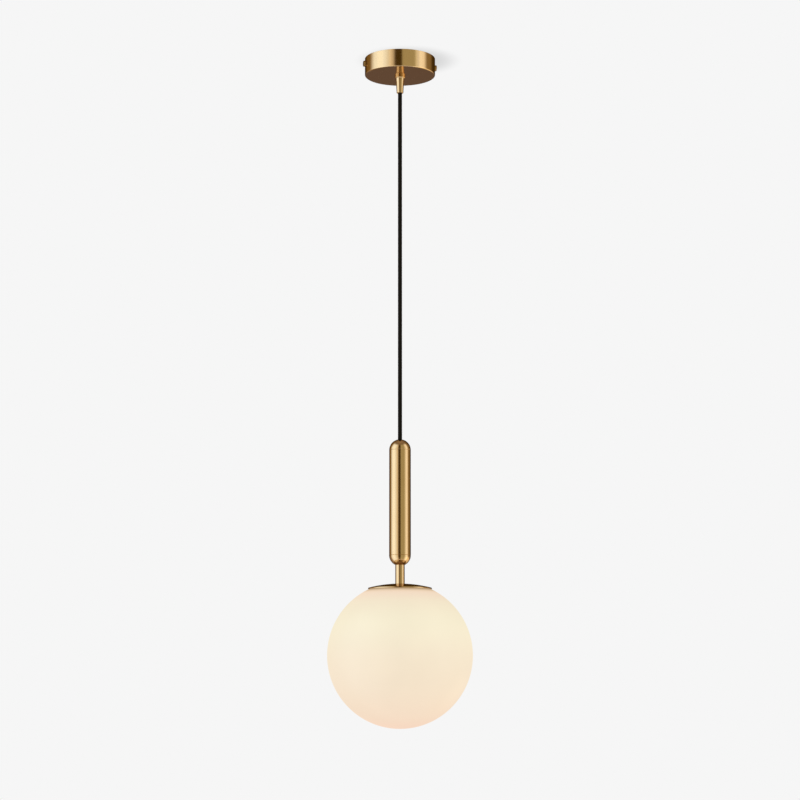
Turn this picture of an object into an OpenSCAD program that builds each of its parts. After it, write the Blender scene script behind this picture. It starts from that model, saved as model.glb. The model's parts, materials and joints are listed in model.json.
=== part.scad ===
// Pendant ceiling light: brass ceiling cup, black cord, brass capsule and an opal glass globe.
// The origin is on the ceiling, in the middle of the bracket. +Z points up into the ceiling.

/* [Ceiling fitting] */
// Diameter of the ceiling cup
canopy_d = 100; // [90:1:130]
// Height of the ceiling cup
canopy_h = 25; // [22:1:40]
// Sheet thickness of the ceiling cup
canopy_wall = 1; // [0.6:0.1:1.5]
// Radius of the cup's lower edge
canopy_round = 2; // [1.5:0.5:4]
// Width of the bracket strap
bracket_w = 20; // [16:1:26]
// Sheet thickness of the bracket
bracket_t = 2; // [1.5:0.5:2.5]
// Distance between the middles of the two ceiling slots
slot_spacing = 60; // [56:1:64]
// Width of a ceiling slot
slot_w = 5; // [4:0.5:6]
// Length of a ceiling slot, end to end
slot_len = 12; // [8:1:14]
// Diameter of the hole for the supply cable
cable_hole_d = 11; // [8:0.5:12]
// Depth of the side screws below the ceiling
side_screw_drop = 10; // [9:0.5:13]

/* [Cord grip] */
// Length of the cord grip below the cup
grip_len = 25; // [20:1:35]
// Diameter of the flared collar against the cup
collar_d = 15.2; // [14:0.1:20]
// Height of the flared collar
collar_h = 4; // [3:0.5:6]
// Diameter of the cone at its top
cone_top_d = 12.6; // [12.4:0.1:16]
// Diameter of the cone at its mouth
cone_mouth_d = 9.6; // [9.2:0.1:12]
// Diameter of the cord
cord_d = 6; // [5:0.1:6.2]

/* [Capsule and stem] */
// Diameter of the capsule
capsule_d = 30; // [28:1:50]
// Length of the capsule over its round ends
capsule_len = 176; // [120:1:300]
// Wall of the capsule tube
capsule_wall = 1.5; // [1:0.1:2.5]
// Diameter of the stem sleeve
stem_d = 13; // [12.5:0.5:18]
// Length of the stem sleeve
stem_len = 26; // [20:1:60]

/* [Globe and cap] */
// Diameter of the globe
globe_d = 200; // [180:5:300]
// Wall of the globe
glass_wall = 3; // [2:0.5:4]
// Diameter of the mouth in the top of the globe
mouth_d = 80; // [66:1:82]
// Diameter of the domed cap over the mouth
cap_d = 88; // [86:1:110]
// Sheet thickness of the domed cap
cap_wall = 1; // [0.8:0.1:1.5]
// Rise of the dome from its edge to its middle
dome_h = 5.6; // [5:0.1:9]
// Height of the turned-down edge of the cap
cap_lip = 1.5; // [1:0.1:3]
// Width of each spring leg
spring_w = 12; // [8:1:16]
// Sheet thickness of the globe spring
spring_t = 0.8; // [0.5:0.1:1]
// How far each spring knee reaches past the mouth
spring_catch = 3.2; // [2:0.1:4]

/* [Lampholder and bulb] */
// Outer diameter of the lampholder
holder_d = 39; // [38:1:44]
// Length of the lampholder
holder_len = 54; // [52:1:60]
// Inner diameter of the screw shell
shell_bore = 26.8; // [26.6:0.1:27]
// Diameter of the bulb
bulb_d = 60; // [45:1:70]
// Length of the bulb from its contact to its end
bulb_len = 110; // [95:1:120]

/* [Fits] */
// Radial clearance of a bolt or tube in a plain hole
hole_gap = 0.1; // [0.05:0.05:0.3]
// Clearance between the bracket's corners and the cup
bracket_gap = 0.4; // [0.2:0.1:1]
// Clearance between the glass and what holds it
glass_gap = 0.3; // [0.2:0.1:0.6]
// Clearance between the bulb's screw cap and the screw shell
bulb_gap = 0.3; // [0.2:0.05:0.4]
// Radial clearance of the cord in a metal bore
cord_gap = 0.25; // [0.1:0.05:0.35]

/* [Hidden] */
$fn = 96;
eps = 0.01;

// Colours
brass = [0.72, 0.56, 0.33];
zinc = [0.70, 0.71, 0.73];
nickel = [0.78, 0.76, 0.72];
black_cloth = [0.06, 0.055, 0.05];
opal = [0.96, 0.92, 0.82];
white_plastic = [0.93, 0.92, 0.89];
black_plastic = [0.12, 0.12, 0.12];
ceramic = [0.90, 0.89, 0.85];
rubber_grey = [0.75, 0.74, 0.70];

// Metric sizes used all over
m10_r = 5;
m4_r = 2;
m3_r = 1.5;
m10_nut_af = 14;
nut_face = 0.95;
nut_chamfer = 30;
thread_chamfer = 0.5;
screw_cut_w = 0.9;
fine_cut_w = 0.5;
fine_cut = 0.8;
// Screw tips end this far below the ceiling
tip_sunk = 0.2;
// Toothed washers
washer_teeth = 12;
tooth_cut_w = 1.2;
tooth_cut_in = 1.6;

// Cord, and the stretch of it that bends in the mouth of the grip
cord_r = cord_d / 2;
bend_len = 6;
wire_r = 1;
wire_spread = 1.3;
// Route of the free cord, from the mouth of the grip down to the capsule
cord_route = [
    [0, 0, 0], [0, 0, -6], [0, 0, -16], [0, 0, -30], [0, 0, -50], [0, 0, -75], [0, 0, -100],
    [0, 0, -125], [0, 0, -150], [0, 0, -175], [0, 0, -200], [0, 0, -225], [0, 0, -250],
    [0, 0, -275], [0, 0, -300], [0, 0, -325], [0, 0, -350], [0, 0, -375], [0, 0, -400],
    [0, 0, -425], [0, 0, -450], [0, 0, -470], [0, 0, -485], [0, 0, -496]];
cord_sides = 12;
wire_sides = 8;

// Ceiling cup and bracket
canopy_r = canopy_d / 2;
canopy_in_r = canopy_r - canopy_wall;
canopy_z = -canopy_h;
floor_z = canopy_z + canopy_wall;
ear_x = sqrt(pow(canopy_in_r - bracket_gap, 2) - pow(bracket_w / 2, 2));
ear_below_screw = 5;
bracket_bend = 3;
tab_w = 16;
tab_end = 30;
earth_x = 14;
ring_t = 0.8;
ring_r = 3.8;
crimp_r = 1.7;
crimp_len = 6;
crimp_z = -bracket_t - crimp_r;
side_head_r = 4.25;
side_head_h = 3.3;
side_head_round = 0.8;
side_shank = 8;
earth_head_r = 3.4;
earth_head_h = 2.4;
small_round = 0.4;

// Terminal block, hung under the bracket's tab
block_y = 22.5;
block_w = 20;
block_len = 17;
block_base = 2;
pole_x = 5.5;
barrel_r = 4.2;
barrel_drop = 5.2;
tower_r = 2.7;
tower_y = 4;
tower_drop = 11;
insert_r = 2.4;
insert_bore = 1.5;
insert_len = 13;
entry_r = 1.7;
pole_z = -bracket_t - barrel_drop;
pinch_r = 1.2;
pinch_sunk = 1.5;
pinch_gap = 0.7;
well_r = 3;
well_floor = 0.8;
fixing_head_r = 2.7;
fixing_head_h = 1.8;

// Cord grip
grip_washer_t = 1;
grip_washer_r = 9;
grip_nut_h = 3.5;
nipple_above_nut = 2.5;
nipple_in_cone = 6;
nipple_top = floor_z + grip_washer_t + grip_nut_h + nipple_above_nut;
tail_above_nipple = 2;
tail_top = nipple_top + tail_above_nipple;
cone_z = canopy_z - collar_h;
mouth_z = canopy_z - grip_len;
nipple_low = cone_z - nipple_in_cone;
collet_top_r = 4.4;
collet_low_r = 3.9;
collet_gap = 0.5;
collet_top = nipple_low - collet_gap;
collet_low = mouth_z + bend_len;
collet_slit = 0.6;
collet_uncut = 3;
lip_round = 1;
flare = 0.85;
flare_h = 1.6;
collar_edge = 0.8;
collar_step = 0.2;
bend_top = mouth_z + bend_len;

// Capsule
capsule_r = capsule_d / 2;
crest_z = mouth_z + cord_route[len(cord_route) - 1][2];
top_mid = crest_z - capsule_r;
low_mid = crest_z - capsule_len + capsule_r;
spigot_len = 8;
spigot_r = capsule_r - capsule_wall;
seam_break = 0.3;
crest_chamfer = 0.9;
clamp_r = 8;
clamp_len = 12;
shoulder_z = top_mid + 5;
clamp_screw_z = shoulder_z - clamp_len / 2;
clamp_screw_sunk = 0.4;
rod_nut_h = 4;
rod_washer_t = 1;
rod_washer_r = 9;
rod_above_nut = 2;
spigot_top = low_mid + spigot_len;
rod_top = spigot_top + rod_washer_t + rod_nut_h + rod_above_nut;
rod_bore = cord_r + cord_gap;

// Stem, cap and globe
stem_r = stem_d / 2;
stem_edge = 0.3;
stem_top = low_mid - sqrt(pow(capsule_r, 2) - pow(stem_r, 2));
cap_top = stem_top - stem_len;
cap_r = cap_d / 2;
flat_r = stem_r + 1;
dome_r = (pow(cap_r, 2) - pow(flat_r, 2) + pow(dome_h, 2)) / (2 * dome_h);
dome_mid = cap_top - sqrt(pow(dome_r, 2) - pow(flat_r, 2));
dome_edge = dome_mid + sqrt(pow(dome_r, 2) - pow(cap_r, 2));
cap_rim = dome_edge - cap_lip;
rim_gap = 0.8;
globe_r = globe_d / 2;
glass_in_r = globe_r - glass_wall;
mouth_r = mouth_d / 2;
bead_r = glass_wall / 2;
bead_x = mouth_r + bead_r;
bead_up = sqrt(pow(globe_r - bead_r, 2) - pow(bead_x, 2));
dome_over_bead = dome_mid + sqrt(pow(dome_r - cap_wall, 2) - pow(bead_x, 2));
// The globe hangs as high as the cap's rim and the dome above its mouth both let it
globe_z = min(
    cap_rim - rim_gap - sqrt(pow(globe_r, 2) - pow(cap_r, 2)),
    dome_over_bead - glass_gap - bead_r - bead_up);
gasket_w = 2.2;
// Deeper than anything that is shaped to the inside of the dome
dome_reach = 20;

// Stack under the cap: shaped washer, three-leg spring, toothed washer and nut
seat_r = 12;
seat_t = 2.4;
seat_z = cap_top - cap_wall - seat_t;
star_r = 16;
star_hole_r = 1.5;
star_hole_x = 12;
star_z = seat_z - spring_t;
lock_washer_t = 1;
lock_washer_r = 9;
holder_nut_h = 4;
holder_top = star_z - lock_washer_t - holder_nut_h;

// Spring leg: out under the dome, down through the mouth, out to the knee and back in
knee_x = mouth_r + spring_catch;
knee_z = globe_z + sqrt(pow(glass_in_r, 2) - pow(knee_x, 2)) - glass_gap - spring_t;
knee_slope = 0.5;
throat_x = mouth_r - 1.6;
leg_path = [
    [star_r - 3, star_z + spring_t / 2],
    [star_r + 3, star_z + spring_t / 2],
    [mouth_r - 7, star_z - 1.6],
    [throat_x, knee_z + (knee_x - throat_x) * knee_slope],
    [knee_x, knee_z],
    [mouth_r - 8, knee_z - 20],
    [mouth_r - 13, knee_z - 18]];
leg_rounds = [0, 6, 4, 3, 1.2, 1.6, 0];

// Lampholder, set out downwards from its top
holder_r = holder_d / 2;
holder_wall = 2;
holder_low = holder_top - holder_len;
neck_r = 8.5;
neck_h = 5;
shoulder_r = 9;
shoulder_mid = holder_top - neck_h - shoulder_r;
holder_split = holder_top - 20;
spigot_up = 5;
rod_low = holder_top - neck_h - holder_wall;
core_r = holder_r - holder_wall - 0.9;
core_top = holder_top - 13;
core_low = holder_top - 27;
core_stop_r = core_r - 2;
contact_z = core_low - 3;
shell_in_r = shell_bore / 2;
shell_wall = 0.6;
shell_out_r = shell_in_r + shell_wall;
shell_top = core_low + 3;
shell_low = holder_low + 4;
skirt_r = shell_out_r + 1.6;
skirt_low = holder_low + 3;
skirt_gap = 0.2;
ledge_h = 2;
holder_rim_r = holder_r + 1;
holder_rim_h = 3;
terminal_x = 9;
terminal_r = 2.2;
terminal_h = 6;
terminal_floor = 1;
leaf_slot = [10, 8, 2];
leaf_w = 6;
leaf_t = 0.5;
leaf_path = [
    [-4.5, core_low + 1.75], [0, core_low + 1.75], [3.8, core_low - 0.4],
    [1.5, contact_z + leaf_t / 2], [-2, contact_z + leaf_t / 2]];
leaf_rounds = [0, 1, 0.8, 0.8, 0];

// Bulb
bulb_r = bulb_d / 2;
bulb_cap_r = shell_in_r - bulb_gap;
tip_h = 1.5;
insulator_h = 4;
insulator_top_r = 5.8;
insulator_low_r = bulb_cap_r - 0.8;
bulb_cap_len = 20;
tip_r = 4.8;
neck_z = contact_z - tip_h - insulator_h - bulb_cap_len;
bulb_neck_r = bulb_cap_r + 0.5;
bulb_core_r = bulb_cap_r - 0.6;
bulb_mid = contact_z - bulb_len + bulb_r;
joint_z = neck_z - 26.5;
diffuser_wall = 1.2;
// Direction of the radius where the straight flank of the bulb runs into its round end
flank_d = norm([bulb_neck_r, neck_z - bulb_mid]);
flank_dir = atan2(neck_z - bulb_mid, bulb_neck_r) - acos(bulb_r / flank_d);

// A ring about the Z axis between two heights
module ring(outer_r, inner_r, low, high)
    rotate_extrude() translate([inner_r, low]) square([outer_r - inner_r, high - low]);

// A flat bar of revolution, for building turned profiles
module bar(inner_r, outer_r, low, high)
    translate([inner_r, low]) square([outer_r - inner_r, high - low]);

// A hexagon nut with its corners chamfered on both faces
module hex_nut(across_flats, bore_r, low, height) {
    corner_r = across_flats / sqrt(3);
    face_r = nut_face * across_flats / 2;
    past_r = corner_r + 1;
    drop = (past_r - face_r) * tan(nut_chamfer);
    translate([0, 0, low]) intersection() {
        cylinder(r = corner_r, h = height, $fn = 6);
        rotate_extrude() polygon([
            [bore_r, 0], [face_r, 0], [past_r, drop],
            [past_r, height - drop], [face_r, height], [bore_r, height]]);
    }
}

// A tube about the Z axis whose outer edges are broken at both ends
module tube(outer_r, inner_r, low, high, edge)
    rotate_extrude() polygon([
        [inner_r, low], [outer_r - edge, low], [outer_r, low + edge],
        [outer_r, high - edge], [outer_r - edge, high], [inner_r, high]]);

function unit(v) = v / norm(v);

// Points of an arc that rounds the corner b of the path a, b, c
function corner_arc(a, b, c, r, steps = 5) =
    let (u = unit(a - b), v = unit(c - b),
         half = acos(max(-1, min(1, u * v))) / 2,
         back = r / tan(half),
         mid = b + unit(u + v) * (r / sin(half)),
         from = b + u * back - mid, to = b + v * back - mid,
         sweep = 180 - 2 * half)
    [for (i = [0:steps])
        let (t = i / steps)
        mid + (sin((1 - t) * sweep) * from + sin(t * sweep) * to) / sin(sweep)];

// A flat path with its corners rounded
function rounded(path, rounds) =
    [for (i = [0:len(path) - 1])
        each (i == 0 || i == len(path) - 1 || rounds[i] == 0
            ? [path[i]]
            : corner_arc(path[i - 1], path[i], path[i + 1], rounds[i]))];

// Unit normal of a flat path at point i, lengthened so that a strip keeps its thickness
function miter(path, i) =
    let (a = unit(path[max(i, 1)] - path[max(i - 1, 0)]),
         b = unit(path[min(i + 1, len(path) - 1)] - path[min(i, len(path) - 2)]),
         n = unit([-a[1] - b[1], a[0] + b[0]]))
    n / (n * [-a[1], a[0]]);

// Outline of sheet metal of thickness t bent along a flat path
module bent_strip(path, t)
    polygon(concat(
        [for (i = [0:len(path) - 1]) path[i] + miter(path, i) * t / 2],
        [for (i = [len(path) - 1:-1:0]) path[i] - miter(path, i) * t / 2]));

// Sweep of a round tube along points in space, carried without twist
function heading(p, i) = unit(p[min(i + 1, len(p) - 1)] - p[max(i - 1, 0)]);
function side(p, i) =
    i == 0
    ? unit(cross(heading(p, 0), abs(heading(p, 0)[2]) > 0.9 ? [0, 1, 0] : [0, 0, 1]))
    : let (s = side(p, i - 1), h = heading(p, i)) unit(s - h * (s * h));
module swept(p, r, sides) {
    rings = [for (i = [0:len(p) - 1])
        let (u = side(p, i), v = cross(heading(p, i), u))
        for (k = [0:sides - 1]) p[i] + r * (cos(360 * k / sides) * u + sin(360 * k / sides) * v)];
    walls = [for (i = [0:len(p) - 2], k = [0:sides - 1])
        let (n = (k + 1) % sides)
        [i * sides + k, (i + 1) * sides + k, (i + 1) * sides + n, i * sides + n]];
    first = [for (k = [0:sides - 1]) k];
    last = [for (k = [sides - 1:-1:0]) (len(p) - 1) * sides + k];
    polyhedron(points = rings, faces = concat([first], walls, [last]));
}

// A smooth curve through the given points
function blend(a, b, c, d, t) =
    0.5 * (2 * b + (c - a) * t + (2 * a - 5 * b + 4 * c - d) * t * t
        + (3 * b - a - 3 * c + d) * t * t * t);
function smooth(p, steps = 3) = concat(
    [for (i = [0:len(p) - 2], k = [0:steps - 1])
        blend(p[max(i - 1, 0)], p[i], p[i + 1], p[min(i + 2, len(p) - 1)], k / steps)],
    [p[len(p) - 1]]);

module mounting_bracket() color(zinc) {
    strap_z = -bracket_t / 2;
    ear_mid = ear_x - bracket_t / 2;
    ear_low = -side_screw_drop - ear_below_screw;
    path = rounded(
        [[-ear_mid, ear_low], [-ear_mid, strap_z], [ear_mid, strap_z], [ear_mid, ear_low]],
        [0, bracket_bend, bracket_bend, 0]);
    difference() {
        union() {
            translate([0, bracket_w / 2, 0]) rotate([90, 0, 0])
                linear_extrude(bracket_w) bent_strip(path, bracket_t);
            translate([-tab_w / 2, 0, -bracket_t]) cube([tab_w, tab_end, bracket_t]);
        }
        translate([0, 0, -bracket_t - 1]) cylinder(d = cable_hole_d, h = bracket_t + 2);
        for (s = [-1, 1])
            translate([s * slot_spacing / 2, 0, -bracket_t - 1]) linear_extrude(bracket_t + 2) {
                square([slot_len - slot_w, slot_w], center = true);
                for (e = [-1, 1])
                    translate([e * (slot_len - slot_w) / 2, 0]) circle(d = slot_w);
            }
        translate([earth_x, 0, -bracket_t - 1]) cylinder(r = m4_r, h = bracket_t + 2);
        translate([0, block_y, -bracket_t - 1]) cylinder(r = m3_r, h = bracket_t + 2);
        for (s = [-1, 1])
            translate([s * (ear_x + 1), 0, -side_screw_drop]) rotate([0, -s * 90, 0])
                cylinder(r = m4_r, h = bracket_t + 2);
    }
}

// Outline of a cup wall: a straight side with a rounded lower edge
module cup_outline(r, low, high, corner) {
    bar(0, r - corner, low, high);
    bar(0, r, low + corner, high);
    translate([r - corner, low + corner]) circle(r = corner);
}

module canopy_cover() color(brass)
    difference() {
        rotate_extrude() intersection() {
            difference() {
                cup_outline(canopy_r, canopy_z, 0, canopy_round);
                cup_outline(canopy_in_r, floor_z, 1, canopy_round - canopy_wall);
            }
            bar(m10_r + hole_gap, canopy_r, canopy_z, 0);
        }
        for (s = [-1, 1])
            translate([s * (canopy_r + 1), 0, -side_screw_drop]) rotate([0, -s * 90, 0])
                cylinder(r = m4_r + hole_gap, h = canopy_wall + 3);
    }

// A screw along +Z with its round head above the plane z = 0
module headed_screw(shank_r, shank_len, head_r, head_h, edge) {
    difference() {
        rotate_extrude() {
            bar(0, shank_r, -shank_len, eps);
            bar(0, head_r - edge, 0, head_h);
            bar(0, head_r, 0, head_h - edge);
            translate([head_r - edge, head_h - edge]) intersection() {
                circle(r = edge);
                square(edge);
            }
        }
        translate([-head_r, -screw_cut_w / 2, head_h - screw_cut_w])
            cube([2 * head_r, screw_cut_w, head_h]);
    }
}

module side_screws() color(brass)
    for (s = [-1, 1])
        translate([s * canopy_r, 0, -side_screw_drop]) rotate([0, s * 90, 0])
            headed_screw(m4_r, side_shank, side_head_r, side_head_h, side_head_round);

module earth_terminal() color(nickel) {
    translate([earth_x, 0, -bracket_t - ring_t]) difference() {
        union() {
            cylinder(r = ring_r, h = ring_t);
            translate([-crimp_r, -ring_r - 1, 0]) cube([2 * crimp_r, ring_r + 1, ring_t]);
        }
        translate([0, 0, -1]) cylinder(r = m4_r + hole_gap, h = ring_t + 2);
    }
    translate([earth_x, -ring_r, crimp_z]) rotate([90, 0, 0]) difference() {
        cylinder(r = crimp_r, h = crimp_len);
        translate([0, 0, 1]) cylinder(r = wire_r + hole_gap, h = crimp_len);
    }
}

module earth_screw() color(brass)
    translate([earth_x, 0, -bracket_t - ring_t]) rotate([180, 0, 0])
        headed_screw(m4_r, bracket_t + ring_t - tip_sunk, earth_head_r, earth_head_h, small_round);

module terminal_block() color(white_plastic)
    translate([0, block_y, -bracket_t]) difference() {
        union() {
            translate([-block_w / 2, -block_len / 2, -block_base])
                cube([block_w, block_len, block_base]);
            for (s = [-1, 1]) translate([s * pole_x, 0, 0]) {
                translate([0, block_len / 2, -barrel_drop]) rotate([90, 0, 0])
                    cylinder(r = barrel_r, h = block_len);
                for (e = [-1, 1]) translate([0, e * tower_y, -tower_drop])
                    cylinder(r = tower_r, h = tower_drop - barrel_drop);
            }
        }
        for (s = [-1, 1]) translate([s * pole_x, 0, 0]) {
            translate([0, insert_len / 2, -barrel_drop]) rotate([90, 0, 0])
                cylinder(r = insert_r, h = insert_len);
            translate([0, block_len, -barrel_drop]) rotate([90, 0, 0])
                cylinder(r = entry_r, h = 2 * block_len);
            for (e = [-1, 1]) translate([0, e * tower_y, -tower_drop - 1])
                cylinder(r = m3_r + hole_gap, h = tower_drop - barrel_drop + 1);
        }
        translate([0, 0, -tower_drop]) cylinder(r = m3_r + hole_gap, h = tower_drop + 1);
        translate([0, 0, -tower_drop]) cylinder(r = well_r, h = tower_drop - block_base - well_floor);
    }

module terminal_inserts() color(brass)
    for (s = [-1, 1])
        translate([s * pole_x, block_y, pole_z]) difference() {
            rotate([90, 0, 0]) difference() {
                translate([0, 0, -insert_len / 2]) cylinder(r = insert_r, h = insert_len);
                translate([0, 0, -insert_len]) cylinder(r = insert_bore, h = 2 * insert_len);
            }
            for (e = [-1, 1]) translate([0, e * tower_y, -insert_r - 1])
                cylinder(r = pinch_r, h = insert_r + 1);
        }

module terminal_screws() color(nickel)
    for (s = [-1, 1], e = [-1, 1])
        translate([s * pole_x, block_y + e * tower_y, pinch_sunk - bracket_t - tower_drop]) {
            difference() {
                cylinder(r = m3_r, h = tower_drop - barrel_drop - insert_r - pinch_sunk);
                translate([-m3_r, -fine_cut_w / 2, -1]) cube([2 * m3_r, fine_cut_w, 1 + fine_cut]);
            }
            cylinder(r = pinch_r, h = tower_drop - barrel_drop - pinch_sunk - pinch_gap);
        }

module terminal_fixing_screw() color(nickel)
    translate([0, block_y, -bracket_t - block_base - well_floor]) rotate([180, 0, 0])
        headed_screw(m3_r, bracket_t + block_base + well_floor - tip_sunk,
            fixing_head_r, fixing_head_h, small_round);

module grip_nipple() color(zinc)
    tube(m10_r, cord_r + cord_gap, nipple_low, nipple_top, thread_chamfer);

module grip_locknut() color(zinc)
    hex_nut(m10_nut_af, m10_r, floor_z + grip_washer_t, grip_nut_h);

// A washer with notches round its edge that bite into what it lies on
module toothed_washer(outer_r, low, thick)
    difference() {
        ring(outer_r, m10_r + hole_gap, low, low + thick);
        for (i = [0:washer_teeth - 1]) rotate([0, 0, 360 * i / washer_teeth])
            translate([outer_r - tooth_cut_in, -tooth_cut_w / 2, low - 1])
                cube([tooth_cut_in + 1, tooth_cut_w, thick + 2]);
    }

module grip_washer() color(zinc) toothed_washer(grip_washer_r, floor_z, grip_washer_t);

module grip_collar() color(brass)
    rotate_extrude() polygon([
        [m10_r + hole_gap, canopy_z], [collar_d / 2, canopy_z],
        [collar_d / 2, canopy_z - collar_edge], [cone_top_d / 2 + collar_step, cone_z],
        [m10_r + hole_gap, cone_z]]);

module grip_cone() color(brass)
    rotate_extrude() difference() {
        polygon([
            [cord_r + cord_gap, cone_z], [cone_top_d / 2, cone_z],
            [cone_mouth_d / 2, mouth_z + lip_round], [cone_mouth_d / 2, mouth_z],
            [cord_r + cord_gap + flare, mouth_z], [cord_r + cord_gap, mouth_z + flare_h]]);
        bar(0, m10_r, nipple_low, cone_z + 1);
        polygon([
            [0, nipple_low + eps], [collet_top_r, nipple_low + eps], [collet_top_r, collet_top],
            [collet_low_r, collet_low], [0, collet_low]]);
        // rounded lip round the mouth
        translate([cone_mouth_d / 2 - lip_round, mouth_z]) difference() {
            translate([0, -1]) square([lip_round + 1, lip_round + 1]);
            translate([0, lip_round]) circle(r = lip_round);
        }
    }

module grip_collet() color(white_plastic)
    difference() {
        rotate_extrude() polygon([
            [cord_r, collet_top], [collet_top_r, collet_top],
            [collet_low_r, collet_low], [cord_r, collet_low]]);
        for (i = [0:3]) rotate([0, 0, 45 + 90 * i])
            translate([0, -collet_slit / 2, collet_low + collet_uncut])
                cube([collet_top_r + 1, collet_slit, collet_top - collet_low]);
    }

module cord_tail() color(black_cloth)
    translate([0, 0, bend_top]) cylinder(r = cord_r, h = tail_top - bend_top);

// A core that leaves the end of the sheath at start, along the Z axis, and follows the route
module core(start, up, route)
    swept(concat([start], smooth(concat([start + [0, 0, up]], route))), wire_r, wire_sides);

// Core from the sheath to one pole of the terminal block; s is the side it lies on
module pole_wire(s)
    core([s * wire_spread * cos(30), wire_spread * sin(30), tail_top], 1, [
        [s * 2, 2.6, pole_z - 3.5], [s * (pole_x - 1.5), 7, pole_z - 0.6],
        [s * pole_x, block_y - block_len / 2 - 2, pole_z],
        [s * pole_x, block_y - insert_len / 2, pole_z]]);

module live_wire() color("saddlebrown") pole_wire(1);

module neutral_wire() color("steelblue") pole_wire(-1);

module earth_wire() color("yellowgreen")
    core([0, -wire_spread, tail_top], 1, [
        [1, -4, crimp_z - 7], [5, -11, crimp_z - 3], [11, -15.5, crimp_z - 0.8],
        [earth_x, -12.5, crimp_z], [earth_x, -9, crimp_z],
        [earth_x, -ring_r - 1.2, crimp_z]]);

module cord_bend() color(black_cloth)
    translate([0, 0, mouth_z]) cylinder(r = cord_r, h = bend_len);

module cord() color(black_cloth)
    translate([0, 0, mouth_z]) swept(cord_route, cord_r, cord_sides);

// Half round of the capsule with the spigot that fits the tube; up is 1 or -1
module capsule_end(mid_z, up)
    translate([0, mid_z]) mirror([0, up < 0 ? 1 : 0]) {
        intersection() {
            circle(r = capsule_r);
            bar(0, capsule_r + 1, 0, capsule_r + 1);
        }
        bar(0, spigot_r, -spigot_len, eps);
    }

module capsule_top() color(brass)
    rotate_extrude() difference() {
        capsule_end(top_mid, 1);
        bar(-1, cord_r + cord_gap, top_mid - spigot_len - 1, crest_z + 1);
        // broken edge where the cord comes out
        polygon([
            [0, crest_z - crest_chamfer], [cord_r + cord_gap, crest_z - crest_chamfer],
            [cord_r + cord_gap + crest_chamfer, crest_z], [0, crest_z + 1]]);
        bar(-1, clamp_r + hole_gap, top_mid - spigot_len - 1, shoulder_z);
    }

module capsule_tube() color(brass)
    rotate_extrude() polygon([
        [spigot_r, low_mid], [capsule_r - seam_break, low_mid],
        [capsule_r, low_mid + seam_break], [capsule_r, top_mid - seam_break],
        [capsule_r - seam_break, top_mid], [spigot_r, top_mid]]);

module capsule_bottom() color(brass)
    rotate_extrude() difference() {
        capsule_end(low_mid, -1);
        bar(-1, m10_r, crest_z - capsule_len - 1, spigot_top + 1);
        bar(-1, stem_r + hole_gap, crest_z - capsule_len - 1, stem_top);
    }

module cord_clamp() color(white_plastic)
    difference() {
        ring(clamp_r, cord_r, shoulder_z - clamp_len, shoulder_z);
        for (s = [-1, 1])
            translate([0, 0, clamp_screw_z]) rotate([0, s * 90, 0]) cylinder(r = m3_r, h = clamp_r + 1);
    }

module clamp_screws() color(zinc)
    for (s = [-1, 1])
        translate([s * cord_r, 0, clamp_screw_z]) rotate([0, s * 90, 0]) difference() {
            cylinder(r = m3_r, h = clamp_r - cord_r - clamp_screw_sunk);
            translate([-m3_r, -fine_cut_w / 2, clamp_r - cord_r - clamp_screw_sunk - fine_cut])
                cube([2 * m3_r, fine_cut_w, fine_cut + 1]);
        }

module capsule_cord() color(black_cloth)
    translate([0, 0, rod_low]) cylinder(r = cord_r, h = crest_z - rod_low);

module threaded_rod() color(zinc) tube(m10_r, rod_bore, rod_low, rod_top, thread_chamfer);

module rod_nut() color(zinc) hex_nut(m10_nut_af, m10_r, spigot_top + rod_washer_t, rod_nut_h);

module rod_washer() color(zinc)
    ring(rod_washer_r, m10_r + hole_gap, spigot_top, spigot_top + rod_washer_t);

module stem_sleeve() color(brass)
    tube(stem_r, m10_r + hole_gap, cap_top, stem_top, stem_edge);

// Everything under the dome surface that lies cover below its top face
module under_dome(cover)
    intersection() {
        translate([0, dome_mid]) circle(r = dome_r - cover, $fn = 8 * $fn);
        bar(0, cap_r, cap_rim - dome_reach, cap_top - cover);
    }

module globe_cap() color(brass)
    rotate_extrude() difference() {
        intersection() {
            under_dome(0);
            bar(m10_r + hole_gap, cap_r, cap_rim, cap_top);
        }
        intersection() {
            under_dome(cap_wall);
            bar(0, cap_r - cap_wall, cap_rim - 1, cap_top);
        }
    }

module cap_gasket() color(rubber_grey)
    rotate_extrude() difference() {
        intersection() {
            under_dome(cap_wall);
            bar(cap_r - cap_wall - hole_gap - gasket_w, cap_r - cap_wall - hole_gap,
                cap_rim - dome_reach, cap_top);
        }
        translate([0, globe_z]) circle(r = globe_r + glass_gap, $fn = 8 * $fn);
    }

module dome_seat() color(zinc)
    rotate_extrude() intersection() {
        under_dome(cap_wall);
        bar(m10_r + hole_gap, seat_r, seat_z, cap_top);
    }

module globe_spring() color(nickel) {
    difference() {
        ring(star_r, m10_r + hole_gap, star_z, star_z + spring_t);
        for (i = [0:2]) rotate([0, 0, 30 + 120 * i]) translate([star_hole_x, 0, star_z - 1])
            cylinder(r = star_hole_r, h = spring_t + 2);
    }
    for (i = [0:2]) rotate([0, 0, 90 + 120 * i])
        translate([0, spring_w / 2, 0]) rotate([90, 0, 0])
            linear_extrude(spring_w) bent_strip(rounded(leg_path, leg_rounds), spring_t);
}

module spring_washer() color(zinc)
    toothed_washer(lock_washer_r, star_z - lock_washer_t, lock_washer_t);

module holder_nut() color(zinc) hex_nut(m10_nut_af, m10_r, holder_top, holder_nut_h);

// Outline of the holder cap, drawn in by inset
module cap_outline(inset) {
    bar(0, holder_r - inset, holder_split - 1, shoulder_mid + eps);
    bar(0, holder_r - shoulder_r, holder_split - 1, holder_top - neck_h - inset);
    translate([holder_r - shoulder_r, shoulder_mid]) intersection() {
        circle(r = shoulder_r - inset);
        square(shoulder_r);
    }
}

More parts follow.
